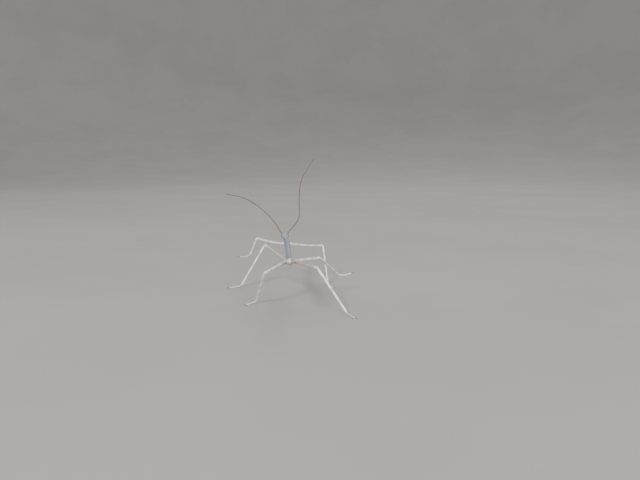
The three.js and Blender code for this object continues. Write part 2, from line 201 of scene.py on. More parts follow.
class Path:
    """A smooth line through a few knots, which a straight limb is bent along."""

    STEPS: ClassVar[int] = 24

    def __init__(self, knots: Sequence[Vector], handles: Sequence[tuple[Vector, Vector]] = ()) -> None:
        """Keeps the knots and samples the line.

        Args:
            knots: Points that the line passes through.
            handles: The two handles of each knot. A centripetal spline's when left out.
        """
        self.knots = list(knots)
        self.handles = list(handles) or self._spline_handles()
        self.points: list[Vector] = []
        for index in range(len(self.knots) - 1):
            out_of = self.handles[index][1]
            into = self.handles[index + 1][0]
            stretch = interpolate_bezier(
                self.knots[index], out_of, into, self.knots[index + 1], self.STEPS + 1
            )
            self.points += stretch[1:] if self.points else stretch
        self.distances = [0.0]
        for before, here in zip(self.points, self.points[1:]):
            self.distances.append(self.distances[-1] + (here - before).length)

    @classmethod
    def straight(cls, start: Vector, end: Vector) -> "Path":
        """Makes a straight path between two points."""
        third = (end - start) / 3
        return cls([start, end], [(start - third, start + third), (end - third, end + third)])

    @classmethod
    def bowed(cls, start: Vector, middle: Vector, end: Vector) -> "Path":
        """Makes a path that leaves its start towards a middle point and arrives from there.

        Args:
            start: Where it begins.
            middle: What it leaves towards and arrives from.
            end: Where it ends.

        Returns:
            The path.
        """
        out_of = start.lerp(middle, 2 / 3)
        into = end.lerp(middle, 2 / 3)
        return cls([start, end], [(start * 2 - out_of, out_of), (into, end * 2 - into)])

    def _spline_handles(self) -> list[tuple[Vector, Vector]]:
        """Works out each knot's handles from the knots beside it.

        Returns:
            The handles before and after each knot.
        """
        knots = self.knots
        padded = [knots[0] * 2 - knots[1], *knots, knots[-1] * 2 - knots[-2]]
        handles = []
        for before, here, after in zip(padded, padded[1:], padded[2:]):
            gap_in = (here - before).length ** 0.5
            gap_out = (after - here).length ** 0.5
            slope = (here - before) / gap_in + (after - here) / gap_out
            slope -= (after - before) / (gap_in + gap_out)
            handles.append((here - slope * gap_in / 3, here + slope * gap_out / 3))
        return handles

    @property
    def length(self) -> float:
        """The path's whole length."""
        return self.distances[-1]

    def place(self, distance: float) -> Place:
        """Finds a place on the path, which runs straight on past each end.

        Args:
            distance: How far from the start it is.

        Returns:
            The place.
        """
        index = 0
        while index < len(self.distances) - 2 and self.distances[index + 1] < distance:
            index += 1
        start = self.points[index]
        along = (self.points[index + 1] - start).normalized()
        return place_facing(start + along * (distance - self.distances[index]), along)

    def guide(self) -> bpy.types.Object:
        """Makes the curve object that a Curve modifier follows.

        Returns:
            The curve object.
        """
        data = bpy.data.curves.new("guide", "CURVE")
        data.dimensions = "3D"
        data.twist_mode = "Z_UP"
        data.resolution_u = self.STEPS
        spline = data.splines.new("BEZIER")
        spline.bezier_points.add(len(self.knots) - 1)
        for point, knot, (before, after) in zip(spline.bezier_points, self.knots, self.handles):
            point.handle_left_type = "FREE"
            point.handle_right_type = "FREE"
            point.co = knot
            point.handle_left = before
            point.handle_right = after
        guide = bpy.data.objects.new("guide", data)
        bpy.context.scene.collection.objects.link(guide)
        return guide

    def bend(self, piece: bpy.types.Object) -> None:
        """Bends a piece modelled along +Y so that it follows this path.

        Args:
            piece: The straight piece. Its x = z = 0 line comes to lie on the path.
        """
        piece.rotation_euler = (0.0, math.pi / 2, 0.0)
        apply_placing(piece)
        guide = self.guide()
        apply_modifier(piece, "CURVE", object=guide, deform_axis="POS_Y")
        bpy.data.curves.remove(guide.data)


def heading(bearing: float, lift: float) -> Vector:
    """Gives the direction with a bearing and a lift.

    Args:
        bearing: Degrees from +Y towards +X.
        lift: Degrees above the level.

    Returns:
        The direction, one long.
    """
    turn = math.radians(bearing)
    rise = math.radians(lift)
    return Vector((math.sin(turn) * math.cos(rise), math.cos(turn) * math.cos(rise), math.sin(rise)))


# ---- straight tubes ----


@dataclass(frozen=True)
class Ring:
    """One round of a straight tube: how far along it is, and its half width and height."""

    place: float
    wide: float
    tall: float
    lift: float = 0.0

    @classmethod
    def even(cls, place: float, radius: float) -> "Ring":
        """Makes a round that is as tall as it is wide."""
        return cls(place, radius, radius)


@dataclass(frozen=True)
class Keel:
    """A ridge that runs along a tube on both sides, or with a negative rise, a groove."""

    turn: float
    rise: float
    start: float = -math.inf
    end: float = math.inf


@dataclass(frozen=True)
class Dent:
    """A narrow furrow round a tube."""

    place: float
    depth: float
    breadth: float

    def at(self, place: float) -> float:
        """Says how much of the depth is felt at a place along the tube."""
        return self.depth * math.exp(-(((place - self.place) / self.breadth) ** 2))


@dataclass(frozen=True)
class Outline:
    """How thick a limb is along its length, with its furrows."""

    stations: Sequence[tuple[float, float]]
    dents: Sequence[Dent] = ()

    # Rings through a furrow, in its breadths, and how much of a usual step is kept clear beside them.
    CLOSE: ClassVar[tuple[float, ...]] = (-1.6, -0.8, 0.0, 0.8, 1.6)
    CLEAR: ClassVar[float] = 0.35

    def radius(self, place: float) -> float:
        """Finds the half thickness at a place, eased between the stations.

        Args:
            place: How far along the limb.

        Returns:
            The radius there.
        """
        before = self.stations[0]
        after = self.stations[-1]
        for left, right in zip(self.stations, self.stations[1:]):
            if left[0] <= place <= right[0]:
                before, after = left, right
                break
        if place <= self.stations[0][0]:
            after = before
        share = (place - before[0]) / (after[0] - before[0]) if after[0] > before[0] else 0.0
        eased = share * share * (3 - 2 * share)
        plain = before[1] + (after[1] - before[1]) * min(max(eased, 0.0), 1.0)
        return plain - sum(dent.at(place) for dent in self.dents)

    def places(self, step: float) -> list[float]:
        """Spreads rings evenly, with closer ones through each furrow.

        Args:
            step: The usual distance from ring to ring.

        Returns:
            The rings' places, in order.
        """
        start = self.stations[0][0]
        end = self.stations[-1][0]
        count = max(2, round((end - start) / step))
        spots = [start + (end - start) * index / count for index in range(count + 1)]
        for dent in self.dents:
            near = [dent.place + dent.breadth * share for share in self.CLOSE]
            clear = dent.breadth * self.CLOSE[-1] + step * self.CLEAR
            spots = [spot for spot in spots if abs(spot - dent.place) > clear or spot in (start, end)]
            spots += [spot for spot in near if start < spot < end]
        return sorted(spots)

    def rings(self, step: float, flatness: float = 1.0) -> list[Ring]:
        """Lists the rounds of a tube with this outline.

        Args:
            step: The usual distance from ring to ring.
            flatness: The tube's height as a share of its width.

        Returns:
            The rounds, in order.
        """
        thick = [(place, self.radius(place)) for place in self.places(step)]
        return [Ring(place, radius, radius * flatness) for place, radius in thick]


def straight_tube(
    name: str, rings: Sequence[Ring], sides: int, keels: Sequence[Keel] = ()
) -> bpy.types.Object:
    """Extrudes a closed tube along +Y from one disc, ring by ring, and rounds it off.

    Args:
        name: The piece's name.
        rings: Its rounds, in order.
        sides: How many sides each round has. The first corner is on top.
        keels: Ridges and grooves along it.

    Returns:
        The tube.
    """
    first = rings[0]
    deselect_all()
    bpy.ops.mesh.primitive_circle_add(
        vertices=sides, radius=1.0, fill_type="NGON", rotation=(math.pi / 2, 0.0, 0.0)
    )
    tube = bpy.context.object
    tube.name = name
    apply_placing(tube)
    with editing(tube):
        bpy.ops.transform.resize(value=(first.wide, 1.0, first.tall), center_override=(0.0, 0.0, 0.0))
        bpy.ops.transform.translate(value=(0.0, first.place, first.lift))
        for before, ring in zip(rings, rings[1:]):
            move = (0.0, ring.place - before.place, ring.lift - before.lift)
            bpy.ops.mesh.extrude_region_move(TRANSFORM_OT_translate={"value": move})
            growth = (ring.wide / before.wide, 1.0, ring.tall / before.tall)
            bpy.ops.transform.resize(value=growth, center_override=(0.0, ring.place, ring.lift))
        bpy.ops.mesh.select_all(action="SELECT")
        bpy.ops.mesh.normals_make_consistent(inside=False)
    for keel in keels:
        raise_keel(tube, sides, keel)
    subdivide(tube)
    return tube


def raise_keel(tube: bpy.types.Object, sides: int, keel: Keel) -> None:
    """Pushes the corners on two mirrored lines of a tube outwards.

    Args:
        tube: A tube straight from its extrusion.
        sides: How many sides it has.
        keel: Which lines, how far and from where to where.
    """
    spoke = round(keel.turn / 360 * sides)
    spokes = {spoke % sides, -spoke % sides}

    def on_line(vertex: bpy.types.MeshVertex) -> bool:
        """Says whether a corner is on one of the two lines."""
        return vertex.index % sides in spokes and keel.start <= vertex.co.y <= keel.end

    with editing(tube, on_line):
        bpy.ops.transform.shrink_fatten(value=keel.rise)


def subdivide(piece: bpy.types.Object, levels: int = 1) -> None:
    """Rounds a piece off by subdivision.

    Args:
        piece: The mesh.
        levels: How many times each face is quartered.
    """
    apply_modifier(piece, "SUBSURF", levels=levels, render_levels=levels)


def mark_vertices(piece: bpy.types.Object, name: str, values: Sequence[float]) -> None:
    """Writes one value on each vertex, for a material to read.

    Args:
        piece: The mesh.
        name: What the value is called.
        values: The values, in the order of the vertices.
    """
    attribute = piece.data.attributes.new(name, "FLOAT", "POINT")
    attribute.data.foreach_set("value", values)


def smooth(piece: bpy.types.Object) -> None:
    """Shades all the faces of a piece as one smooth surface."""
    for polygon in piece.data.polygons:
        polygon.use_smooth = True


@dataclass(frozen=True)
class Lobe:
    """A rounded plate: how far it stands off from a place, its half sizes and its front's taper."""

    name: str
    right: float
    forward: float
    rise: float
    radii: tuple[float, float, float]
    taper: float = 1.0

    def both_sides(self) -> list["Lobe"]:
        """Gives the left and the right one of a pair."""
        return [
            replace(self, name=f"{self.name}_{name}", right=side * self.right)
            for name, side in SIDES.items()
        ]

    def build(self, place: Place) -> bpy.types.Object:
        """Models the lobe, turned the way of a place, from a subdivided block.

        Args:
            place: What it stands off from.

        Returns:
            The lobe.
        """
        deselect_all()
        bpy.ops.mesh.primitive_cube_add(size=2.0)
        piece = bpy.context.object
        piece.name = self.name
        with editing(piece, lambda vertex: vertex.co.y > 0):
            growth = (self.taper, 1.0, self.taper)
            bpy.ops.transform.resize(value=growth, center_override=(0.0, 1.0, 0.0))
        subdivide(piece, 3)
        roundness = max(vertex.co.x for vertex in piece.data.vertices)
        piece.scale = tuple(radius / roundness for radius in self.radii)
        apply_placing(piece)
        piece.matrix_world = place.matrix(place.at(self.right, self.forward, self.rise))
        apply_placing(piece)
        return piece


@dataclass(frozen=True)
class Bump:
    """A small granule or thorn on a straight tube."""

    place: float
    turn: float
    size: float
    pointed: bool = False

    # In sizes: how deep it is set, and a thorn's foot, point and height. A thorn leans by degrees.
    SUNK: ClassVar[float] = 0.2
    FOOT: ClassVar[float] = 0.42
    POINT: ClassVar[float] = 0.06
    HEIGHT: ClassVar[float] = 2.2
    LEAN: ClassVar[float] = -20.0

    def add(self, radius: float, flatness: float) -> None:
        """Adds its mesh to the piece that is open in edit mode.

        Args:
            radius: The tube's half width there.
            flatness: The tube's height as a share of its width.
        """
        turn = math.radians(self.turn)
        out = Vector((math.sin(turn), 0.0, math.cos(turn) * flatness))
        spot = out * (radius - self.size * self.SUNK) + Vector((0.0, self.place, 0.0))
        if not self.pointed:
            bpy.ops.mesh.primitive_ico_sphere_add(subdivisions=2, radius=self.size, location=spot)
            return
        bpy.ops.mesh.primitive_cone_add(
            vertices=8,
            radius1=self.size * self.FOOT,
            radius2=self.size * self.POINT,
            depth=self.size * self.HEIGHT,
            location=spot,
            rotation=(math.radians(self.LEAN), turn, 0.0),
        )


def add_bumps(
    tube: bpy.types.Object, bumps: Sequence[Bump], outline: Outline, flatness: float = 1.0
) -> None:
    """Grows granules or thorns out of a straight tube.

    Args:
        tube: The tube.
        bumps: What grows on it.
        outline: How thick the tube is.
        flatness: Its height as a share of its width.
    """
    deselect_all()
    # A tiny ball on the middle line starts the cluster, and vanishes in the union.
    seed = bumps[0]
    bpy.ops.mesh.primitive_ico_sphere_add(
        subdivisions=2, radius=seed.size / 10, location=(0.0, seed.place, 0.0)
    )
    cluster = bpy.context.object
    with editing(cluster):
        bpy.ops.mesh.select_all(action="DESELECT")
        for bump in bumps:
            bump.add(outline.radius(bump.place), flatness)
    apply_placing(cluster)
    apply_modifier(tube, "BOOLEAN", operation="UNION", solver="MANIFOLD", object=cluster)
    bpy.data.objects.remove(cluster)


# ---- the insect's lines ----


class Pair(Enum):
    """The three pairs of legs."""

    FRONT = "front"
    MID = "mid"
    HIND = "hind"


@dataclass(frozen=True)
class LegPlan:
    """One pair's hip and sizes: length and half thickness of each joint, bow and sag of the thigh."""

    hip: Vector
    hip_out: float
    coxa: tuple[float, float]
    femur: tuple[float, float]
    tibia: tuple[float, float]
    tarsus: tuple[float, float]
    bow: float = 0.0
    sag: float = 0.0


@dataclass(frozen=True)
class LegPose:
    """How one leg is held, in bearings and lifts. With no tibia lift it stands on the floor."""

    pair: Pair
    side: int
    femur: tuple[float, float]
    tibia: tuple[float, ...]
    tarsus: tuple[float, ...]

    @property
    def planted(self) -> bool:
        """Whether the foot is on the floor."""
        return len(self.tibia) == 1


TAIL_FORWARD = -35.5
TAIL_END = -34.975
WAIST = -8.2
MID_SEAM = -1.3
COLLAR = 12.4
NECK = 16.4

SPINE_KNOTS = [
    Vector((-0.6, TAIL_FORWARD, 16.5)),
    Vector((-0.3, -21.0, 14.0)),
    Vector((0.0, -6.8, 11.6)),
    Vector((0.0, 0.0, 10.7)),
    Vector((-0.3, 7.0, 12.4)),
    Vector((-0.6, 14.0, 14.5)),
    Vector((-0.86, 16.4, 15.15)),
    Vector((-1.35, 20.7, 16.2)),
]

LEG_PLANS = {
    Pair.FRONT: LegPlan(
        Vector((-0.6, 14.0, 14.0)), 0.85, (1.5, 0.5), (13.95, 0.38), (15.5, 0.3), (3.9, 0.27),
        bow=0.5, sag=0.5,
    ),
    Pair.MID: LegPlan(
        Vector((0.0, 0.0, 10.55)), 0.95, (1.5, 0.59), (12.7, 0.49), (15.35, 0.375), (4.1, 0.3)
    ),
    Pair.HIND: LegPlan(
        Vector((0.0, -6.8, 11.6)), 0.95, (1.5, 0.59), (12.6, 0.49), (14.5, 0.375), (3.9, 0.3)
    ),
}

LEG_POSES = {
    "front_left": LegPose(Pair.FRONT, -1, (-36.5, 1.1), (-173.3, -12.8), (-130.0, -2.0)),
    "front_right": LegPose(Pair.FRONT, 1, (50.3, -8.0), (175.8,), (163.0,)),
    "mid_left": LegPose(Pair.MID, -1, (-29.3, 13.5), (-80.6,), (-118.0,)),
    "mid_right": LegPose(Pair.MID, 1, (147.5, 11.5), (28.0, -27.9), (76.0, 1.0)),
    "hind_left": LegPose(Pair.HIND, -1, (-153.1, -4.2), (-13.8,), (-137.0,)),
    "hind_right": LegPose(Pair.HIND, 1, (154.0, 1.1), (125.2,), (160.0,)),
}

ANKLE_HEIGHT = 0.62
SOLE_HEIGHT = 0.2
ARCH_SHARE = 0.42
ARCH_ABOVE_SOLE = 0.1
ARCH_BELOW_ANKLE = 0.35
BOW_SHARE = 0.32

# How far along the thigh its own colours begin, and how much painted shade, a dim brown, some thighs carry
# more than the rest.
HIP_DEPTH = 0.15
PAINTED_SHADE_THIGHS = {"mid_left": 1.0, "hind_right": 1.0, "hind_left": 0.25, "front_right": 0.3}

FEELER_FORWARD = 19.75
FEELER_APART = 0.76
FEELER_RISE = 0.5
FEELER_BENDS = {
    "left": [(7.5, -31.0, 35.0), (8.0, -40.0, 29.0), (9.0, -41.0, 18.0), (8.0, -59.0, 10.0)],
    "right": [(7.4, 48.0, 41.0), (7.0, 5.0, 57.0), (9.0, 11.0, 49.0), (9.0, 56.0, 54.0)],
}


class Spine(Path):
    """The line through the middle of the body, found by how far forward a place is."""

    def along(self, forward: float) -> float:
        """Turns a distance forward into a distance along the spine.

        Args:
            forward: The place's Y.

        Returns:
            Its distance from the tail's tip.
        """
        for index, point in enumerate(self.points[1:], 1):
            if point.y >= forward or index == len(self.points) - 1:
                before = self.points[index - 1]
                share = (forward - before.y) / (point.y - before.y)
                step = self.distances[index] - self.distances[index - 1]
                return self.distances[index - 1] + share * step
        return self.length

    def at(self, forward: float) -> Place:
        """Gives the place on the spine at a distance forward."""
        return self.place(self.along(forward))


class LegLines:
    """The three paths of one leg: thigh, shin and foot."""

    def __init__(self, plan: LegPlan, pose: LegPose) -> None:
        """Works the leg out from its hip to its toe.

        Args:
            plan: The pair's sizes.
            pose: How this leg is held.
        """
        hip = plan.hip + Vector((pose.side * plan.hip_out, 0.0, 0.0))
        reach = plan.coxa[0] + plan.femur[0]
        knee = hip + heading(*pose.femur) * reach
        outwards = heading(pose.femur[0] + pose.side * 90, 0.0)
        middle = hip.lerp(knee, BOW_SHARE) + outwards * plan.bow - UP * plan.sag
        self.thigh = Path.bowed(hip, middle, knee)
        drop = math.degrees(math.asin((ANKLE_HEIGHT - knee.z) / plan.tibia[0]))
        ankle = knee + heading(pose.tibia[0], drop if pose.planted else pose.tibia[1]) * plan.tibia[0]
        self.shin = Path.straight(knee, ankle)
        toe = ankle + heading(pose.tarsus[0], 0.0 if pose.planted else pose.tarsus[1]) * plan.tarsus[0]
        arch = ankle.lerp(toe, ARCH_SHARE)
        if pose.planted:
            arch.z = SOLE_HEIGHT + ARCH_ABOVE_SOLE
            toe.z = SOLE_HEIGHT
        else:
            arch.z -= ARCH_BELOW_ANKLE
        self.foot = Path([ankle, arch, toe])


def feeler_root(spine: Spine, side: int) -> Vector:
    """Gives the middle of a feeler's socket."""
    return spine.at(FEELER_FORWARD).at(right=side * FEELER_APART, rise=FEELER_RISE)


def feeler_path(spine: Spine, name: str) -> Path:
    """Lays out one feeler from its socket to its tip.

    Args:
        spine: The body's line.
        name: Left or right.

    Returns:
        The feeler's path.
    """
    knots = [feeler_root(spine, SIDES[name])]
    for length, bearing, lift in FEELER_BENDS[name]:
        knots.append(knots[-1] + heading(bearing, lift) * length)
    return Path(knots)


# ---- what the skin is marked with ----


class LimbKind(Enum):
    """What a stretch of the skin belongs to."""

    BODY = "body"
    FEELER = "feeler"
    PALP = "palp"
    THIGH = "thigh"
    SHIN = "shin"
    FOOT = "foot"

    @property
    def leggy(self) -> bool:
        """Whether it has the colours of the legs."""
        return self not in (LimbKind.BODY, LimbKind.FEELER)


@dataclass(frozen=True)
class Limb:
    """A path whose surroundings are coloured alike, and the furrows across it."""

    kind: LimbKind
    path: Path
    thickness: float
    seams: tuple[float, ...] = ()
    seam_breadth: float = 0.15
    start: float = 0.0
    # How much painted shade, a dim brown, a thigh carries.
    painted_shade: float = 0.0

    STEP: ClassVar[float] = 0.15
    FEWEST_STEPS: ClassVar[int] = 8

    def stops(self) -> list[tuple[Place, float]]:
        """Spreads places evenly along the path.

        Returns:
            Each place with its distance along the path.
        """
        length = self.path.length - self.start
        count = max(self.FEWEST_STEPS, int(length / self.STEP))
        distances = [self.start + length * index / count for index in range(count + 1)]
        return [(self.path.place(distance), distance) for distance in distances]

    def marks(self, spot: Vector, place: Place, distance: float) -> dict[str, float]:
        """Works out what a spot on the skin is marked with.

        Args:
            spot: The spot.
            place: The nearest place on the path.
            distance: How far along the path that is.

        Returns:
            The values by name.
        """
        out = spot - place.origin
        reach = distance + out.dot(place.along)
        across = out - place.along * out.dot(place.along)
        across.normalize()
        seams = [math.exp(-(((reach - seam) / self.seam_breadth) ** 2)) for seam in self.seams]
        return {
            "leg": float(self.kind.leggy),
            "foot": float(self.kind is LimbKind.FOOT),
            "feeler": float(self.kind is LimbKind.FEELER),
            "along": reach / self.path.length,
            "over": across.dot(place.up),
            "lean": across.dot(place.side),
            "seam": max(seams, default=0.0),
            "painted_shade": self.painted_shade,
        }


# ---- trunk ----


@dataclass
class Trunk:
    """Thorax and abdomen in one length, from the tail to the neck."""

    spine: Spine
    sides: int = 24
    step: float = 0.42
    ring_shares: tuple[float, ...] = (0.115, 0.125, 0.125, 0.12, 0.115, 0.105, 0.09, 0.075, 0.07, 0.06)
    ring_swell: tuple[tuple[float, float], ...] = ((0.12, 0.04), (0.35, 0.012), (0.65, 0.0), (0.93, -0.01))
    front_radius: float = 1.085
    tail_radius: float = 0.85
    taper: float = 1.4
    belly: float = 0.1
    tail_inset: float = 0.14
    tail_cap: tuple[tuple[float, float], ...] = ((0.0, 0.12), (0.05, 0.25), (0.2, 0.38))
    tail_rounding: tuple[float, float] = (0.9, 0.125)
    tail_bluntness: float = 0.2
    least_gap: float = 0.04
    flatness: float = 0.92
    furrow: float = 0.08
    furrow_breadth: float = 0.13
    keel_inset: float = 0.3
    granules: int = 110
    granule_seed: int = 11
    granule_reach: tuple[float, float] = (WAIST + 1.2, NECK - 0.7)
    granule_turn: float = 105.0
    granule_sizes: tuple[float, float] = (0.045, 0.085)
    granule_room: float = 3.5

    def thorax_stations(self) -> list[tuple[float, float]]:
        """Lists how thick the thorax is, by distance forward."""
        return [
            (WAIST, 1.0), (-7.6, 1.075), (-6.1, 1.06), (-4.4, 0.915), (-2.4, 0.885), (-1.6, 0.87),
            (MID_SEAM, 0.87), (-0.7, 1.02), (0.5, 1.02), (1.8, 0.885), (4.2, 0.805), (6.9, 0.785),
            (10.3, 0.815), (11.7, 0.865), (COLLAR, 0.8), (12.9, 0.925), (14.2, 0.96), (15.5, 0.865),
            (16.1, 0.75), (NECK, 0.6), (16.8, 0.5),
        ]

    def thorax_seams(self) -> list[tuple[float, float]]:
        """Lists how deep each furrow across the thorax is, by distance forward."""
        return [(WAIST, 0.08), (-5.2, 0.035), (MID_SEAM, 0.1), (COLLAR, 0.1), (14.55, 0.03)]

    def ring_edges(self) -> list[float]:
        """Finds where one ring of the abdomen meets the next.

        Returns:
            The distances forward, from the tail on.
        """
        edges = []
        here = WAIST
        for share in self.ring_shares[:-1]:
            here -= share * (WAIST - TAIL_END)
            edges.append(here)
        return edges[::-1]

    def abdomen_radius(self, forward: float) -> float:
        """Tapers the abdomen, with a slight belly, towards a rounded tail.

        Args:
            forward: The place's distance forward.

        Returns:
            The radius there.
        """
        share = max((WAIST - forward) / (WAIST - TAIL_END), 0.0)
        slender = self.front_radius + (self.tail_radius - self.front_radius) * share ** self.taper
        begin, spread = self.tail_rounding
        tail = math.sqrt(max(0.0, 1 - ((share - begin) / spread) ** 2)) if share > begin else 1.0
        swell = self.belly * math.sin(math.pi * min(share, 1.0))
        return (slender + swell) * max(tail, self.tail_bluntness)

    def outline(self) -> Outline:
        """Draws the whole trunk.

        Returns:
            Its outline, measured along the spine.
        """
        tail = TAIL_FORWARD + self.tail_inset
        stations = [(tail + ahead, radius) for ahead, radius in self.tail_cap]
        edges = [tail + self.tail_cap[1][0], *self.ring_edges(), WAIST]
        for behind, ahead in zip(edges, edges[1:]):
            length = ahead - behind
            for share, margin in self.ring_swell:
                place = behind + length * share
                if place > stations[-1][0] + self.least_gap:
                    stations.append((place, self.abdomen_radius(place) + margin))
        stations += self.thorax_stations()
        seams = [(edge, self.furrow) for edge in self.ring_edges()] + self.thorax_seams()
        furrows = [Dent(self.spine.along(seam), depth, self.furrow_breadth) for seam, depth in seams]
        return Outline([(self.spine.along(forward), radius) for forward, radius in stations], furrows)

    def keels(self) -> list[Keel]:
        """Lists the ridge down the back and the folds along the flanks.

        Returns:
            The ridges and grooves.
        """
        waist = self.spine.along(WAIST)
        collar = self.spine.along(COLLAR)
        neck = self.spine.along(15.9)
        tail = self.spine.along(-34.0)
        inset = self.keel_inset
        return [
            Keel(0, 0.03, tail, collar - 0.4),
            Keel(0, -0.04, collar + inset, neck),
            Keel(105, -0.06, tail, waist - inset),
            Keel(90, 0.035, tail, waist - inset),
            Keel(75, 0.04, waist + inset, collar - inset),
            Keel(60, 0.045, collar + inset, neck),
            Keel(120, -0.03, waist + inset, neck),
            Keel(180, 0.025, waist + inset, collar - inset),
        ]

    def scattered_granules(self) -> list[Bump]:
        """Scatters low granules over the back and flanks of the thorax, none touching another.

        Returns:
            The granules.
        """
        dice = random.Random(self.granule_seed)
        bumps: list[Bump] = []
        while len(bumps) < self.granules:
            place = self.spine.along(dice.uniform(*self.granule_reach))
            turn = dice.triangular(-self.granule_turn, self.granule_turn, 0.0)
            size = dice.uniform(*self.granule_sizes)
            apart = (math.hypot(place - other.place, math.radians(turn - other.turn)) for other in bumps)
            if min(apart, default=1.0) > size * self.granule_room:
                bumps.append(Bump(place, turn, size))
        return bumps

    def limb(self) -> Limb:
        """Says how the trunk is marked."""
        seams = [self.spine.along(edge) for edge in (*self.ring_edges(), WAIST, MID_SEAM, COLLAR, NECK)]
        return Limb(LimbKind.BODY, self.spine, 0.95, tuple(seams), seam_breadth=0.11)

    def build(self) -> bpy.types.Object:
        """Models the trunk and bends it along the spine.

        Returns:
            The trunk.
        """
        outline = self.outline()
        trunk = straight_tube("trunk", outline.rings(self.step, self.flatness), self.sides, self.keels())
        add_bumps(trunk, self.scattered_granules(), outline, self.flatness)
        self.spine.bend(trunk)
        return trunk


@dataclass
class TailTip:
    """The plates round the vent, and the scoop beneath the last rings."""

    spine: Spine
    vent: float = -35.2
    scoop: float = -33.2

    def build(self) -> list[bpy.types.Object]:
        """Models the upper plate, the scoop and the two side plates.

        Returns:
            The four pieces.
        """
        vent = self.spine.at(self.vent)
        upper_plate = Lobe("upper_plate", 0.0, 0.14, 0.14, (0.33, 0.44, 0.22), 1.3)
        scoop = Lobe("scoop", 0.0, 0.2, -0.52, (0.44, 1.75, 0.3))
        side_plate = Lobe("side_plate", 0.16, 0.13, -0.14, (0.2, 0.36, 0.25), 1.2)
        return [
            upper_plate.build(vent),
            scoop.build(self.spine.at(self.scoop)),
            *(plate.build(vent) for plate in side_plate.both_sides()),
        ]


@dataclass
class Cerci:
    """The two short feelers at the tail."""

    spine: Spine
    length: float = 1.45
    buried: float = 0.4
    radius: float = 0.245
    apart: float = 0.46
    sunk: float = 0.25
    spread: float = 12.0
    sides: int = 12
    swell: tuple[tuple[float, float], ...] = (
        (0.0, 0.7), (0.3, 0.9), (0.7, 1.0), (1.1, 0.95), (1.45, 0.75), (1.7, 0.5), (1.82, 0.25),
    )

    def build(self) -> list[bpy.types.Object]:
        """Models both.

        Returns:
            The left and the right one.
        """
        root = self.spine.at(TAIL_END)
        rings = [Ring.even(place, self.radius * share) for place, share in self.swell]
        pieces = []
        for name, side in SIDES.items():
            start = root.at(right=side * self.apart, forward=self.sunk)
            out = root.along * -1
            out.rotate(Matrix.Rotation(math.radians(side * self.spread), 3, root.up))
            cercus = straight_tube(f"cercus_{name}", rings, self.sides)
            Path.straight(start, start + out * (self.length + self.buried)).bend(cercus)
            pieces.append(cercus)
        return pieces


# ---- head ----


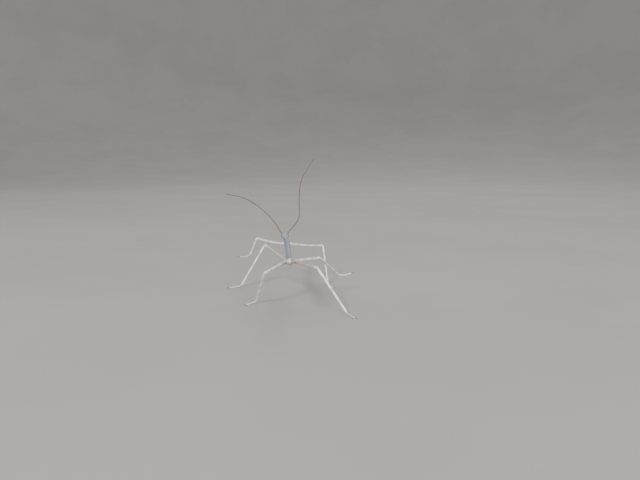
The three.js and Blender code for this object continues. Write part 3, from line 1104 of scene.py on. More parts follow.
@dataclass
class Head:
    """The head's capsule with its sockets, jaws and palps."""

    spine: Spine
    sides: int = 24
    eye_forward: float = 18.85
    eye_out: float = 0.92
    eye_rise: float = 0.2
    eye_radii: tuple[float, float, float] = (0.372, 0.575, 0.5)
    rim_thickness: float = 0.1
    rim_width: float = 0.8
    rim_out: float = 0.03
    rim_tilt: float = 12.0
    jaw_forward: float = 20.15
    palp_radii: tuple[float, float] = (0.17, 0.1)
    palp_sides: int = 10

    def eye_centre(self, side: int) -> Vector:
        """Gives the middle of one eye."""
        return self.spine.at(self.eye_forward).at(right=side * self.eye_out, rise=self.eye_rise)

    def capsule_rounds(self) -> list[tuple[float, ...]]:
        """Lists the skull's rounds: distance forward, half width, half height and lift."""
        return [
            (16.2, 0.42, 0.38), (16.42, 0.5, 0.44), (16.5, 0.74, 0.6), (16.58, 0.86, 0.7),
            (16.72, 0.9, 0.75), (16.95, 0.95, 0.8), (17.3, 1.01, 0.86), (17.75, 1.06, 0.9),
            (18.2, 1.08, 0.92), (18.6, 1.08, 0.93), (18.95, 1.06, 0.92), (19.3, 1.02, 0.9),
            (19.6, 0.95, 0.86, -0.02), (19.88, 0.86, 0.79, -0.04), (20.12, 0.75, 0.7, -0.07),
            (20.32, 0.63, 0.6, -0.1), (20.48, 0.5, 0.48, -0.13), (20.6, 0.34, 0.34, -0.15),
            (20.66, 0.16, 0.16, -0.16),
        ]

    def capsule(self) -> bpy.types.Object:
        """Models the skull, from the neck to the brow.

        Returns:
            The skull.
        """
        rings = [Ring(self.spine.along(forward), *sizes) for forward, *sizes in self.capsule_rounds()]
        behind_eyes = self.spine.along(18.4)
        rim = self.spine.along(16.7)
        keels = [
            Keel(0, -0.05, rim, self.spine.along(19.0)),
            Keel(30, -0.035, rim, behind_eyes),
            Keel(60, 0.03, rim, behind_eyes),
            Keel(120, -0.04, rim, self.spine.along(19.8)),
        ]
        capsule = straight_tube("capsule", rings, self.sides, keels)
        self.spine.bend(capsule)
        return capsule

    def rims(self) -> list[bpy.types.Object]:
        """Models the raised rims that the eyes sit in.

        Returns:
            The left and the right one.
        """
        rims = []
        place = self.spine.at(self.eye_forward)
        _, along, up = self.eye_radii
        for name, side in SIDES.items():
            deselect_all()
            bpy.ops.mesh.primitive_torus_add(
                major_radius=1.0, minor_radius=self.rim_thickness, major_segments=32, minor_segments=8,
                rotation=(0.0, math.pi / 2, 0.0),
            )
            rim = bpy.context.object
            rim.name = f"eye_rim_{name}"
            apply_placing(rim)
            rim.scale = (self.rim_width, along, up)
            apply_placing(rim)
            tilt = Matrix.Rotation(math.radians(-side * self.rim_tilt), 4, "Z")
            rim.matrix_world = place.matrix(self.eye_centre(side) + place.side * side * self.rim_out) @ tilt
            apply_placing(rim)
            rims.append(rim)
        return rims

    def face(self) -> list[bpy.types.Object]:
        """Models the plates of the mouth: clypeus, upper lip, lower lip and jaws.

        Returns:
            The plates.
        """
        plates = [
            Lobe("clypeus", 0.0, 0.18, -0.42, (0.5, 0.3, 0.26), 0.85),
            *Lobe("upper_lip", 0.15, 0.36, -0.68, (0.24, 0.17, 0.27)).both_sides(),
            Lobe("lower_lip", 0.0, -0.32, -0.84, (0.36, 0.34, 0.22), 0.8),
            *Lobe("mandible", 0.4, 0.05, -0.62, (0.24, 0.36, 0.36), 0.75).both_sides(),
            *Lobe("maxilla", 0.36, -0.2, -0.84, (0.16, 0.3, 0.22), 0.8).both_sides(),
        ]
        place = self.spine.at(self.jaw_forward)
        return [plate.build(place) for plate in plates]

    def palp_path(self, side: int) -> Path:
        """Lays out one of the two long palps.

        Args:
            side: -1 for the left one, 1 for the right.

        Returns:
            Its path.
        """
        place = self.spine.at(self.jaw_forward)
        return Path([
            place.at(right=side * 0.42, forward=-0.2, rise=-0.7),
            place.at(right=side * 0.92, forward=0.3, rise=-1.12),
            place.at(right=side * 0.74, forward=0.92, rise=-1.42),
        ])

    def lip_palp_path(self, side: int) -> Path:
        """Lays out one of the two short palps of the lower lip.

        Args:
            side: -1 for the left one, 1 for the right.

        Returns:
            Its path.
        """
        place = self.spine.at(self.jaw_forward)
        return Path([
            place.at(right=side * 0.16, forward=-0.3, rise=-0.9),
            place.at(right=side * 0.3, forward=-0.02, rise=-1.14),
            place.at(right=side * 0.24, forward=0.3, rise=-1.2),
        ])

    def palp(self, name: str, path: Path, radius: float, joints: int) -> bpy.types.Object:
        """Models one palp.

        Args:
            name: Its name.
            path: What it is bent along.
            radius: Its half thickness.
            joints: How many joints it has.

        Returns:
            The palp.
        """
        length = path.length
        stations = [(0.0, radius * 0.8), (length * 0.9, radius * 0.95), (length, radius * 0.5)]
        dents = [
            Dent(length * joint / joints, radius * 0.32, length * 0.035) for joint in range(1, joints)
        ]
        palp = straight_tube(name, Outline(stations, dents).rings(length / 12), self.palp_sides)
        path.bend(palp)
        return palp

    def palps(self) -> list[bpy.types.Object]:
        """Models both long palps, each of four joints, and the two short ones, of three.

        Returns:
            The four palps.
        """
        pieces = []
        thick, thin = self.palp_radii
        for name, side in SIDES.items():
            pieces.append(self.palp(f"palp_{name}", self.palp_path(side), thick, 4))
            pieces.append(self.palp(f"lip_palp_{name}", self.lip_palp_path(side), thin, 3))
        return pieces

    def limbs(self) -> list[Limb]:
        """Says how the two long palps are marked."""
        return [Limb(LimbKind.PALP, self.palp_path(side), 0.18, start=0.45) for side in SIDES.values()]

    def build(self) -> list[bpy.types.Object]:
        """Models all the head's flesh.

        Returns:
            Its pieces, not yet joined.
        """
        return [self.capsule(), *self.rims(), *self.face(), *self.palps()]


# ---- feelers ----


@dataclass
class Feeler:
    """One feeler: a thick first joint, a short second one and a long ringed whip."""

    name: str
    path: Path
    base_radius: float = 0.28
    tip_radius: float = 0.17
    taper: float = 0.8
    scape: float = 1.45
    pedicel: float = 0.7
    rings: int = 38
    grown_by: float = 0.75
    ring_lengths: tuple[float, float] = (0.55, 0.75)
    ring_swell: tuple[tuple[float, float], ...] = ((0.0, 0.84), (0.16, 0.98), (0.82, 1.05), (0.95, 0.98))
    tip_swell: tuple[tuple[float, float], ...] = ((0.0, 0.72), (0.08, 0.35))
    tip_length: float = 0.12
    sides: int = 10

    def ring_edges(self) -> list[float]:
        """Finds where the whip's rings begin and end. They grow longer away from the head.

        Returns:
            The distances along the path.
        """
        reach = [min(1.0, (index + 1) / (self.rings * self.grown_by)) for index in range(self.rings)]
        least, growth = self.ring_lengths
        weights = [least + growth * math.sin(math.pi / 2 * share) for share in reach]
        start = self.scape + self.pedicel
        unit = (self.path.length - self.tip_length - start) / sum(weights)
        edges = [start]
        for weight in weights:
            edges.append(edges[-1] + unit * weight)
        return edges

    def whip_rings(self) -> list[Ring]:
        """Lists the whip's rounds: each of its rings is a little thicker than its joint.

        Returns:
            The rounds, in order.
        """
        rounds = []
        total = self.path.length
        edges = self.ring_edges()
        for here, after in zip(edges, edges[1:]):
            for share, swell in self.ring_swell:
                place = here + (after - here) * share
                thinning = (self.tip_radius - self.base_radius) * (place / total) ** self.taper
                rounds.append(Ring.even(place, (self.base_radius + thinning) * swell))
        rounds += [Ring.even(total + past, self.tip_radius * swell) for past, swell in self.tip_swell]
        return rounds

    def limb(self) -> Limb:
        """Says how the feeler is marked."""
        seams = (self.scape, *self.ring_edges())
        return Limb(LimbKind.FEELER, self.path, 0.32, seams, seam_breadth=0.06, start=0.2)

    def build(self) -> bpy.types.Object:
        """Models the feeler and bends it along its path.

        Returns:
            The feeler.
        """
        joint = self.scape
        end = joint + self.pedicel
        base = [
            (-0.1, 0.24), (0.12, 0.26), (0.22, 0.36), (0.5, 0.38), (joint - 0.25, 0.35), (joint - 0.08, 0.3),
            (joint, 0.22), (joint + 0.1, 0.27), (joint + 0.3, 0.3), (end - 0.18, 0.28), (end - 0.05, 0.22),
        ]
        rings = [Ring.even(place, radius) for place, radius in base] + self.whip_rings()
        feeler = straight_tube(f"feeler_{self.name}", rings, self.sides)
        self.path.bend(feeler)
        return feeler


# ---- legs ----


@dataclass
class Leg:
    """One leg's flesh: hip to knee, knee to ankle, and the foot with its pads."""

    name: str
    plan: LegPlan
    lines: LegLines
    sides: int = 16
    foot_sides: int = 12
    step: float = 0.5
    keel: float = 0.055
    keel_turns: tuple[float, float] = (45.0, 135.0)
    thorn_turns: tuple[float, float] = (145.0, 215.0)
    smallest_thorn: float = 0.6
    segments: tuple[float, ...] = (0.38, 0.18, 0.12, 0.1, 0.22)
    foot_slimness: float = 0.92

    def tube(
        self, part: str, outline: Outline, path: Path, keels: Sequence[Keel], thorns: Sequence[Bump]
    ) -> bpy.types.Object:
        """Models one joint of the leg.

        Args:
            part: The joint's name.
            outline: How thick it is along its length.
            path: What it is bent along.
            keels: Its ridges.
            thorns: The small thorns beneath it.

        Returns:
            The joint.
        """
        piece = straight_tube(f"{part}_{self.name}", outline.rings(self.step), self.sides, keels)
        add_bumps(piece, thorns, outline)
        path.bend(piece)
        return piece

    def thorns(self, start: float, end: float, count: int, size: float) -> list[Bump]:
        """Spreads two rows of thorns along the underside, growing towards the foot.

        Args:
            start: Where the rows begin.
            end: Where they end.
            count: How many each row has.
            size: How large the largest is.

        Returns:
            The thorns.
        """
        rows = []
        for row, turn in enumerate(self.thorn_turns):
            for index in range(count):
                share = (index + row / 2) / count
                growth = self.smallest_thorn + (1 - self.smallest_thorn) * share
                rows.append(Bump(start + (end - start) * share, turn, size * growth, pointed=True))
        return rows

    def thigh(self) -> bpy.types.Object:
        """Models coxa, trochanter and femur in one.

        Returns:
            The thigh.
        """
        reach, coxa = self.plan.coxa
        total = self.lines.thigh.length
        radius = self.plan.femur[1]
        hip = [
            (-0.55, 0.25), (-0.48, 0.52), (-0.3, 0.8), (0.0, 0.97), (0.5, 1.0), (reach * 0.75, 0.82),
        ]
        femur = [
            (reach - 0.1, 0.92), (reach + 0.35, 1.02), (reach + 0.8, 0.94), (reach + 1.4, 0.98),
            (total * 0.35, 1.0), (total * 0.65, 0.96), (total - 1.5, 0.88), (total - 0.7, 1.0),
            (total, 1.02), (total + radius * 0.4, 0.8), (total + radius * 0.62, 0.35),
        ]
        stations = [(place, coxa * share) for place, share in hip]
        stations += [(place, radius * share) for place, share in femur]
        dents = [Dent(reach - 0.12, radius * 0.24, 0.1), Dent(reach + 0.62, radius * 0.1, 0.09)]
        keels = [Keel(turn, self.keel, reach + 1.0, total - 0.7) for turn in self.keel_turns]
        thorns = self.thorns(total * 0.35, total - 0.5, 7, 0.13)
        return self.tube("thigh", Outline(stations, dents), self.lines.thigh, keels, thorns)

    def shin(self) -> bpy.types.Object:
        """Models the tibia.

        Returns:
            The shin.
        """
        length, radius = self.plan.tibia
        profile = [
            (-radius * 0.7, 0.4), (-radius * 0.4, 0.72), (radius * 0.8, 0.88), (1.1, 0.98),
            (length * 0.3, 0.9), (length * 0.7, 0.84), (length - 0.9, 0.9), (length - 0.2, 1.04),
            (length, 0.86), (length + 0.1, 0.4),
        ]
        outline = Outline([(place, radius * share) for place, share in profile])
        keels = [Keel(turn, self.keel * 0.8, 1.0, length - 0.3) for turn in self.keel_turns]
        thorns = self.thorns(length * 0.2, length - 0.25, 11, 0.09)
        return self.tube("shin", outline, self.lines.shin, keels, thorns)

    def foot(self) -> bpy.types.Object:
        """Models the tarsus: five joints, the first four with a pad beneath their ends.

        Returns:
            The foot.
        """
        padded = (
            (0.1, 0.68, 0.7, 0.0), (0.35, 0.72, 0.76, 0.0), (0.65, 0.86, 0.92, -0.06),
            (0.88, 1.0, 1.0, -0.12), (0.97, 0.8, 0.8, -0.05),
        )
        slim = ((0.12, 0.62, 0.66, 0.0), (0.5, 0.7, 0.74, 0.0), (0.82, 0.96, 0.9, 0.0), (1.0, 0.9, 0.8, 0.0))
        path = self.lines.foot
        radius = self.plan.tarsus[1] * self.foot_slimness
        rounds = [Ring.even(-0.15, radius * 0.5), Ring.even(0.0, radius * 0.72)]
        start = 0.0
        for number, share in enumerate(self.segments, 1):
            length = share * path.length
            shape = slim if number == len(self.segments) else padded
            for spot, wide, tall, lift in shape:
                rounds.append(Ring(start + length * spot, radius * wide, radius * tall, radius * lift))
            start += length
        rounds.append(Ring(path.length + 0.12, radius * 0.5, radius * 0.4))
        piece = straight_tube(f"foot_{self.name}", rounds, self.foot_sides)
        path.bend(piece)
        return piece

    def sole(self) -> bpy.types.Object:
        """Models the soft pad between the claws."""
        end = self.lines.foot.place(self.lines.foot.length)
        return Lobe(f"pad_{self.name}", 0.0, 0.28, -0.02, (0.25, 0.3, 0.15), 0.8).build(end)

    def limbs(self) -> list[Limb]:
        """Says how the thigh, the shin and the foot are marked.

        Returns:
            The three limbs.
        """
        thigh, shin, foot = self.lines.thigh, self.lines.shin, self.lines.foot
        coxa = self.plan.coxa[0]
        folds = (coxa - 0.12, coxa + 0.62, thigh.length)
        ends = [sum(self.segments[:count]) * foot.length for count in range(1, len(self.segments))]
        painted_shade = PAINTED_SHADE_THIGHS.get(self.name, 0.0)
        return [
            Limb(LimbKind.THIGH, thigh, 0.55, folds, 0.14, HIP_DEPTH, painted_shade),
            Limb(LimbKind.SHIN, shin, 0.4, (0.0, shin.length), 0.14),
            Limb(LimbKind.FOOT, foot, 0.28, (0.0, *ends), 0.09),
        ]

    def joints(self) -> list[tuple[Vector, float]]:
        """Lists the hip, the knee and the ankle, and how far round each the skin is softened."""
        return [
            (self.lines.thigh.points[0], self.plan.coxa[1] * 1.6),
            (self.lines.shin.points[0], self.plan.femur[1] * 1.5),
            (self.lines.foot.points[0], self.plan.tarsus[1] * 1.5),
        ]

    def build(self) -> list[bpy.types.Object]:
        """Models the whole leg.

        Returns:
            Its four pieces.
        """
        return [self.thigh(), self.shin(), self.foot(), self.sole()]


@dataclass
class Claws:
    """The two hooks at the end of one foot."""

    name: str
    path: Path
    length: float = 0.95
    radius: float = 0.12
    spread: float = 32.0
    root: float = 0.16
    apart: float = 0.12
    knuckle_share: float = 0.6
    knuckle_rise: float = 0.2
    tip_drop: float = 0.06
    clearance: float = 0.03
    sides: int = 10
    swell: tuple[tuple[float, float], ...] = (
        (0.0, 0.9), (0.2, 1.0), (0.45, 0.95), (0.65, 0.75), (0.82, 0.5), (0.94, 0.26), (1.0, 0.1),
    )

    def hook(self, turn: int) -> bpy.types.Object:
        """Models one hook, and marks how far towards its point each vertex is.

        Args:
            turn: 1 for the one that is turned to the left, -1 for the other.

        Returns:
            The hook.
        """
        end = self.path.place(self.path.length + self.root)
        out = end.along.copy()
        out.rotate(Matrix.Rotation(math.radians(turn * self.spread), 3, end.up))
        start = end.at(right=-turn * self.apart)
        knuckle = start + out * self.length * self.knuckle_share + end.up * self.knuckle_rise
        tip = start + out * self.length - end.up * self.tip_drop
        tip.z = max(tip.z, self.clearance)
        path = Path.bowed(start, knuckle, tip)
        rings = [Ring.even(path.length * share, self.radius * thick) for share, thick in self.swell]
        hook = straight_tube("hook", rings, self.sides)
        path.bend(hook)
        reach = [(vertex.co - start).length / self.length for vertex in hook.data.vertices]
        mark_vertices(hook, "reach", reach)
        return hook

    def build(self) -> bpy.types.Object:
        """Models both hooks as one piece.

        Returns:
            The claws.
        """
        return join(f"claws_{self.name}_hooks", [self.hook(turn) for turn in (-1, 1)])


# ---- eyes ----


@dataclass
class Eye:
    """One compound eye, with a six-sided facet for each lens."""

    name: str
    place: Place
    centre: Vector
    radii: tuple[float, float, float]
    facet_cut: float = 33.0
    rim_width: float = 0.012
    dome: float = 0.018

    def build(self) -> bpy.types.Object:
        """Models the eye from a ball whose corners are cut into facets.

        Returns:
            The eye.
        """
        deselect_all()
        bpy.ops.mesh.primitive_ico_sphere_add(subdivisions=4, radius=1.0)
        eye = bpy.context.object
        eye.name = f"eye_{self.name}_lenses"
        with editing(eye):
            bpy.ops.mesh.bevel(offset=self.facet_cut, offset_type="PERCENT", affect="VERTICES")
        with editing(eye):
            bpy.ops.mesh.select_mode(type="FACE")
            bpy.ops.mesh.select_all(action="SELECT")
            bpy.ops.mesh.inset(thickness=self.rim_width, depth=self.dome, use_individual=True)
        domed = {corner for face in eye.data.polygons if face.select for corner in face.vertices}
        mark_vertices(eye, "lens", [float(vertex.index in domed) for vertex in eye.data.vertices])
        mark_vertices(eye, "height", [vertex.co.z for vertex in eye.data.vertices])
        smooth(eye)
        eye.scale = self.radii
        apply_placing(eye)
        eye.matrix_world = self.place.matrix(self.centre)
        apply_placing(eye)
        return eye


# ---- skin ----


@dataclass
class Skin:
    """All the flesh as one skin, softened where limbs meet, with what its colours follow."""

    groups: list[list[bpy.types.Object]]
    joints: list[tuple[Vector, float]]
    limbs: list[Limb]
    weld: float = 0.012
    smoothing: float = 0.5
    smoothing_rounds: int = 6

    def unite(self, pieces: Sequence[bpy.types.Object]) -> bpy.types.Object:
        """Joins overlapping pieces into one closed surface.

        Args:
            pieces: The pieces, of which the first stays.

        Returns:
            The joined piece.
        """
        whole = pieces[0]
        for other in pieces[1:]:
            apply_modifier(whole, "BOOLEAN", operation="UNION", solver="MANIFOLD", object=other)
            bpy.data.objects.remove(other)
        return whole

    def soften(self, skin: bpy.types.Object) -> None:
        """Rounds the creases where limbs meet.

        Args:
            skin: The united skin.
        """

        def near(vertex: bpy.types.MeshVertex) -> bool:
            """Says whether a vertex is close to a joint."""
            return any((vertex.co - centre).length < reach for centre, reach in self.joints)

        with editing(skin, near):
            bpy.ops.mesh.remove_doubles(threshold=self.weld)
            bpy.ops.mesh.vertices_smooth(factor=self.smoothing, repeat=self.smoothing_rounds)

    def flatten_soles(self, skin: bpy.types.Object) -> None:
        """Cuts the skin off level with the floor, so that the feet stand on small flats.

        Args:
            skin: The united skin.
        """
        with editing(skin):
            bpy.ops.mesh.bisect(
                plane_co=(0.0, 0.0, 0.0), plane_no=(0.0, 0.0, 1.0), clear_inner=True, use_fill=True
            )

    def mark(self, skin: bpy.types.Object) -> None:
        """Writes on each vertex which limb it is on, how far along it, and how far round.

        Args:
            skin: The finished skin, still in millimetres.
        """
        fields = []
        for limb in self.limbs:
            stops = limb.stops()
            tree = KDTree(len(stops))
            for index, (place, _) in enumerate(stops):
                tree.insert(place.origin, index)
            tree.balance()
            fields.append((limb, stops, tree))
        marks = []
        for vertex in skin.data.vertices:
            nearest = math.inf
            for limb, stops, tree in fields:
                _, index, away = tree.find(vertex.co)
                if away - limb.thickness < nearest:
                    nearest = away - limb.thickness
                    chosen = (limb, *stops[index])
            limb, place, distance = chosen
            marks.append(limb.marks(vertex.co, place, distance))
        for name in marks[0]:
            mark_vertices(skin, name, [mark[name] for mark in marks])

    def build(self) -> bpy.types.Object:
        """Makes the skin.

        Returns:
            The skin, in millimetres.
        """
        skin = self.unite([self.unite(group) for group in self.groups])
        skin.name = "skin"
        self.soften(skin)
        self.flatten_soles(skin)
        self.mark(skin)
        smooth(skin)
        return skin


# ---- laying out shader nodes ----


Source = Union[bpy.types.NodeSocket, float, Sequence[float]]
PER_MM = 1000.0


def shade(code: str) -> tuple[float, float, float, float]:
    """Turns a display colour, as six hex digits, into the linear colour that a shader takes."""
    channels = [int(code[start:start + 2], 16) / 255 for start in (0, 2, 4)]
    return (*(((channel + 0.055) / 1.055) ** 2.4 for channel in channels), 1.0)


class Graph:
    """Lays out the nodes of one material or node group."""

    def __init__(self, tree: bpy.types.NodeTree) -> None:
        """Keeps the tree.

        Args:
            tree: The nodes' tree.
        """
        self.tree = tree

    def node(self, kind: str, **settings: object) -> bpy.types.Node:
        """Adds one node.

        Args:
            kind: The shader node's kind, without its prefix.
            **settings: Its properties.

        Returns:
            The node.
        """
        node = self.tree.nodes.new(f"ShaderNode{kind}")
        for name, value in settings.items():
            setattr(node, name, value)
        return node

    def feed(self, socket: bpy.types.NodeSocket, source: Source) -> None:
        """Links a socket to a source, or sets its value.

        Args:
            socket: The input.
            source: Another socket, or a plain value.
        """
        if isinstance(source, bpy.types.NodeSocket):
            self.tree.links.new(source, socket)
        else:
            socket.default_value = source

    def math(self, operation: str, first: Source, second: Source = 0.0) -> bpy.types.NodeSocket:
        """Works out one sum.

        Args:
            operation: The kind of sum.
            first: Its first value.
            second: Its second value, where it takes one.

        Returns:
            The answer.
        """
        node = self.node("Math", operation=operation)
        self.feed(node.inputs[0], first)
        self.feed(node.inputs[1], second)
        return node.outputs[0]

    def product(self, *sources: Source) -> bpy.types.NodeSocket:
        """Multiplies several values.

        Args:
            *sources: The values.

        Returns:
            Their product.
        """
        result = sources[0]
        for source in sources[1:]:
            result = self.math("MULTIPLY", result, source)
        return result

    def fade(self, source: Source, start: Source, end: Source) -> bpy.types.NodeSocket:
        """Rises smoothly from 0 to 1 as a value goes from start to end.

        Args:
            source: What is followed.
            start: Where the answer is 0.
            end: Where it is 1.

        Returns:
            The answer.
        """
        node = self.node("MapRange", interpolation_type="SMOOTHSTEP")
        for socket, value in zip(node.inputs, (source, start, end, 0.0, 1.0)):
            self.feed(socket, value)
        return node.outputs[0]

    def blend(self, share: Source, under: Source, over: Source) -> bpy.types.NodeSocket:
        """Lays one colour over another.

        Args:
            share: How much of the upper one shows.
            under: The lower colour.
            over: The upper colour.

        Returns:
            The mixed colour.
        """
        node = self.node("Mix", data_type="RGBA")
        self.feed(node.inputs["Factor"], share)
        self.feed(node.inputs[6], under)
        self.feed(node.inputs[7], over)
        return node.outputs[2]

    def noise(
        self, vector: Source, scale: Source, detail: float = 3.0, roughness: float = 0.55
    ) -> bpy.types.NodeSocket:
        """Gives a cloudy value between 0 and 1.

        Args:
            vector: The spot.
            scale: How fine the clouds are.
            detail: How many finer layers there are.
            roughness: How strong those are.

        Returns:
            The value.
        """
        node = self.node("TexNoise")
        self.feed(node.inputs["Vector"], vector)
        self.feed(node.inputs["Scale"], scale)
        self.feed(node.inputs["Detail"], detail)
        self.feed(node.inputs["Roughness"], roughness)
        return node.outputs["Fac"]

    def relief(self, height: Source, depth: float) -> bpy.types.NodeSocket:
        """Raises a fine relief on the surface.

        Args:
            height: How high each spot is.
            depth: How many metres a height of 1 is.

        Returns:
            The normal.
        """
        bump = self.node("Bump")
        bump.inputs["Distance"].default_value = depth
        self.feed(bump.inputs["Height"], height)
        return bump.outputs["Normal"]

    def place(self) -> bpy.types.NodeSocket:
        """Gives the spot on the piece, in metres."""
        return self.node("TexCoord").outputs["Object"]

    def marked(self, name: str) -> bpy.types.NodeSocket:
        """Reads one of the values written on the mesh."""
        return self.node("Attribute", attribute_name=name).outputs["Fac"]

    def effect(self, tree: bpy.types.NodeTree, **inputs: Source) -> bpy.types.NodeSocket:
        """Places a shared effect with its own values.

        Args:
            tree: The effect's node group.
            **inputs: Its inputs by name.

        Returns:
            Its one output.
        """
        node = self.node("Group", node_tree=tree)
        for name, source in inputs.items():
            self.feed(node.inputs[name], source)
        return node.outputs[0]


def effect_tree(name: str, inputs: Sequence[str], output: str) -> tuple[bpy.types.NodeTree, Graph]:
    """Starts a node group whose inputs are numbers, apart from one named Spot.

    Args:
        name: The group's name.
        inputs: Its inputs' names.
        output: Its output's name.

    Returns:
        The group and its graph.
    """
    tree = bpy.data.node_groups.new(name, "ShaderNodeTree")
    for label in inputs:
        kind = "NodeSocketVector" if label == "Spot" else "NodeSocketFloat"
        tree.interface.new_socket(label, in_out="INPUT", socket_type=kind)
    tree.interface.new_socket(output, in_out="OUTPUT", socket_type="NodeSocketFloat")
    graph = Graph(tree)
    graph.tree.nodes.new("NodeGroupInput").name = "given"
    graph.tree.nodes.new("NodeGroupOutput").name = "result"
    return tree, graph


class Effects:
    """The effects that several finishes share."""

    def __init__(self) -> None:
        """Builds each effect once."""
        self.mottling = self._mottling()
        self.grain = self._grain()
        self.band = self._band()

    def _mottling(self) -> bpy.types.NodeTree:
        """Lays out cloudy patches. A higher Cover makes them larger.

        Returns:
            The group.
        """
        tree, graph = effect_tree("mottling", ("Spot", "Scale", "Cover"), "Mask")
        given = tree.nodes["given"].outputs
        cloud = graph.noise(given["Spot"], given["Scale"], 4.0, 0.6)
        edge = graph.math("SUBTRACT", 1.0, given["Cover"])
        mask = graph.fade(cloud, graph.math("SUBTRACT", edge, 0.08), graph.math("ADD", edge, 0.1))
        graph.feed(tree.nodes["result"].inputs[0], mask)
        return tree

    def _grain(self) -> bpy.types.NodeTree:
        """Lays out low rounded granules with a finer roughness between them.

        Returns:
            The group.
        """
        tree, graph = effect_tree("grain", ("Spot", "Scale", "Fine"), "Height")
        given = tree.nodes["given"].outputs
        cells = graph.node("TexVoronoi", feature="SMOOTH_F1")
        graph.feed(cells.inputs["Vector"], given["Spot"])
        graph.feed(cells.inputs["Scale"], given["Scale"])
        graph.feed(cells.inputs["Smoothness"], 0.35)
        dome = graph.math("SUBTRACT", 1.0, cells.outputs["Distance"])
        fine_scale = graph.math("MULTIPLY", given["Scale"], 3.1)
        fine = graph.product(graph.noise(given["Spot"], fine_scale, 2.0), given["Fine"])
        graph.feed(tree.nodes["result"].inputs[0], graph.math("ADD", dome, fine))
        return tree

    def _band(self) -> bpy.types.NodeTree:
        """Lays out a soft band across a limb, centred at one share of its length.

        Returns:
            The group.
        """
        tree, graph = effect_tree("band", ("Along", "Centre", "Breadth"), "Mask")
        given = tree.nodes["given"].outputs
        away = graph.math("ABSOLUTE", graph.math("SUBTRACT", given["Along"], given["Centre"]))
        mask = graph.fade(graph.math("DIVIDE", away, given["Breadth"]), 1.0, 0.2)
        graph.feed(tree.nodes["result"].inputs[0], mask)
        return tree


@dataclass(frozen=True)
class Mottle:
    """A layer of cloudy patches: how many to a millimetre, how much they cover, how strongly."""

    fineness: float
    cover: float
    strength: float = 1.0

    def mask(self, graph: Graph, effects: Effects) -> bpy.types.NodeSocket:
        """Says how much of the patches shows at a spot.

        Args:
            graph: The material's nodes.
            effects: The shared effects.

        Returns:
            The share.
        """
        scale = self.fineness * PER_MM
        patches = graph.effect(effects.mottling, Spot=graph.place(), Scale=scale, Cover=self.cover)
        return graph.product(patches, self.strength)

    def over(
        self, graph: Graph, effects: Effects, colour: Source, tint: Source
    ) -> bpy.types.NodeSocket:
        """Lays the patches over a colour."""
        return graph.blend(self.mask(graph, effects), colour, tint)


@dataclass(frozen=True)
class Stripe:
    """A soft stripe: where its middle is, how broad it is and how strongly it shows."""

    centre: float
    breadth: float
    strength: float = 1.0

    def mask(
        self, graph: Graph, effects: Effects, along: Source, *limits: Source
    ) -> bpy.types.NodeSocket:
        """Says how much of the stripe shows at a spot.

        Args:
            graph: The material's nodes.
            effects: The shared effects.
            along: What the stripe's place is measured by.
            *limits: Shares that hold it back.

        Returns:
            The share.
        """
        band = graph.effect(effects.band, Along=along, Centre=self.centre, Breadth=self.breadth)
        return graph.product(band, *limits, self.strength)


def new_material(name: str) -> tuple[bpy.types.Material, Graph, bpy.types.Node]:
    """Starts a material.

    Args:
        name: Its name.

    Returns:
        The material, its graph and its Principled BSDF.
    """
    material = bpy.data.materials.new(name)
    material.use_nodes = True
    return material, Graph(material.node_tree), material.node_tree.nodes["Principled BSDF"]


# ---- finishes ----


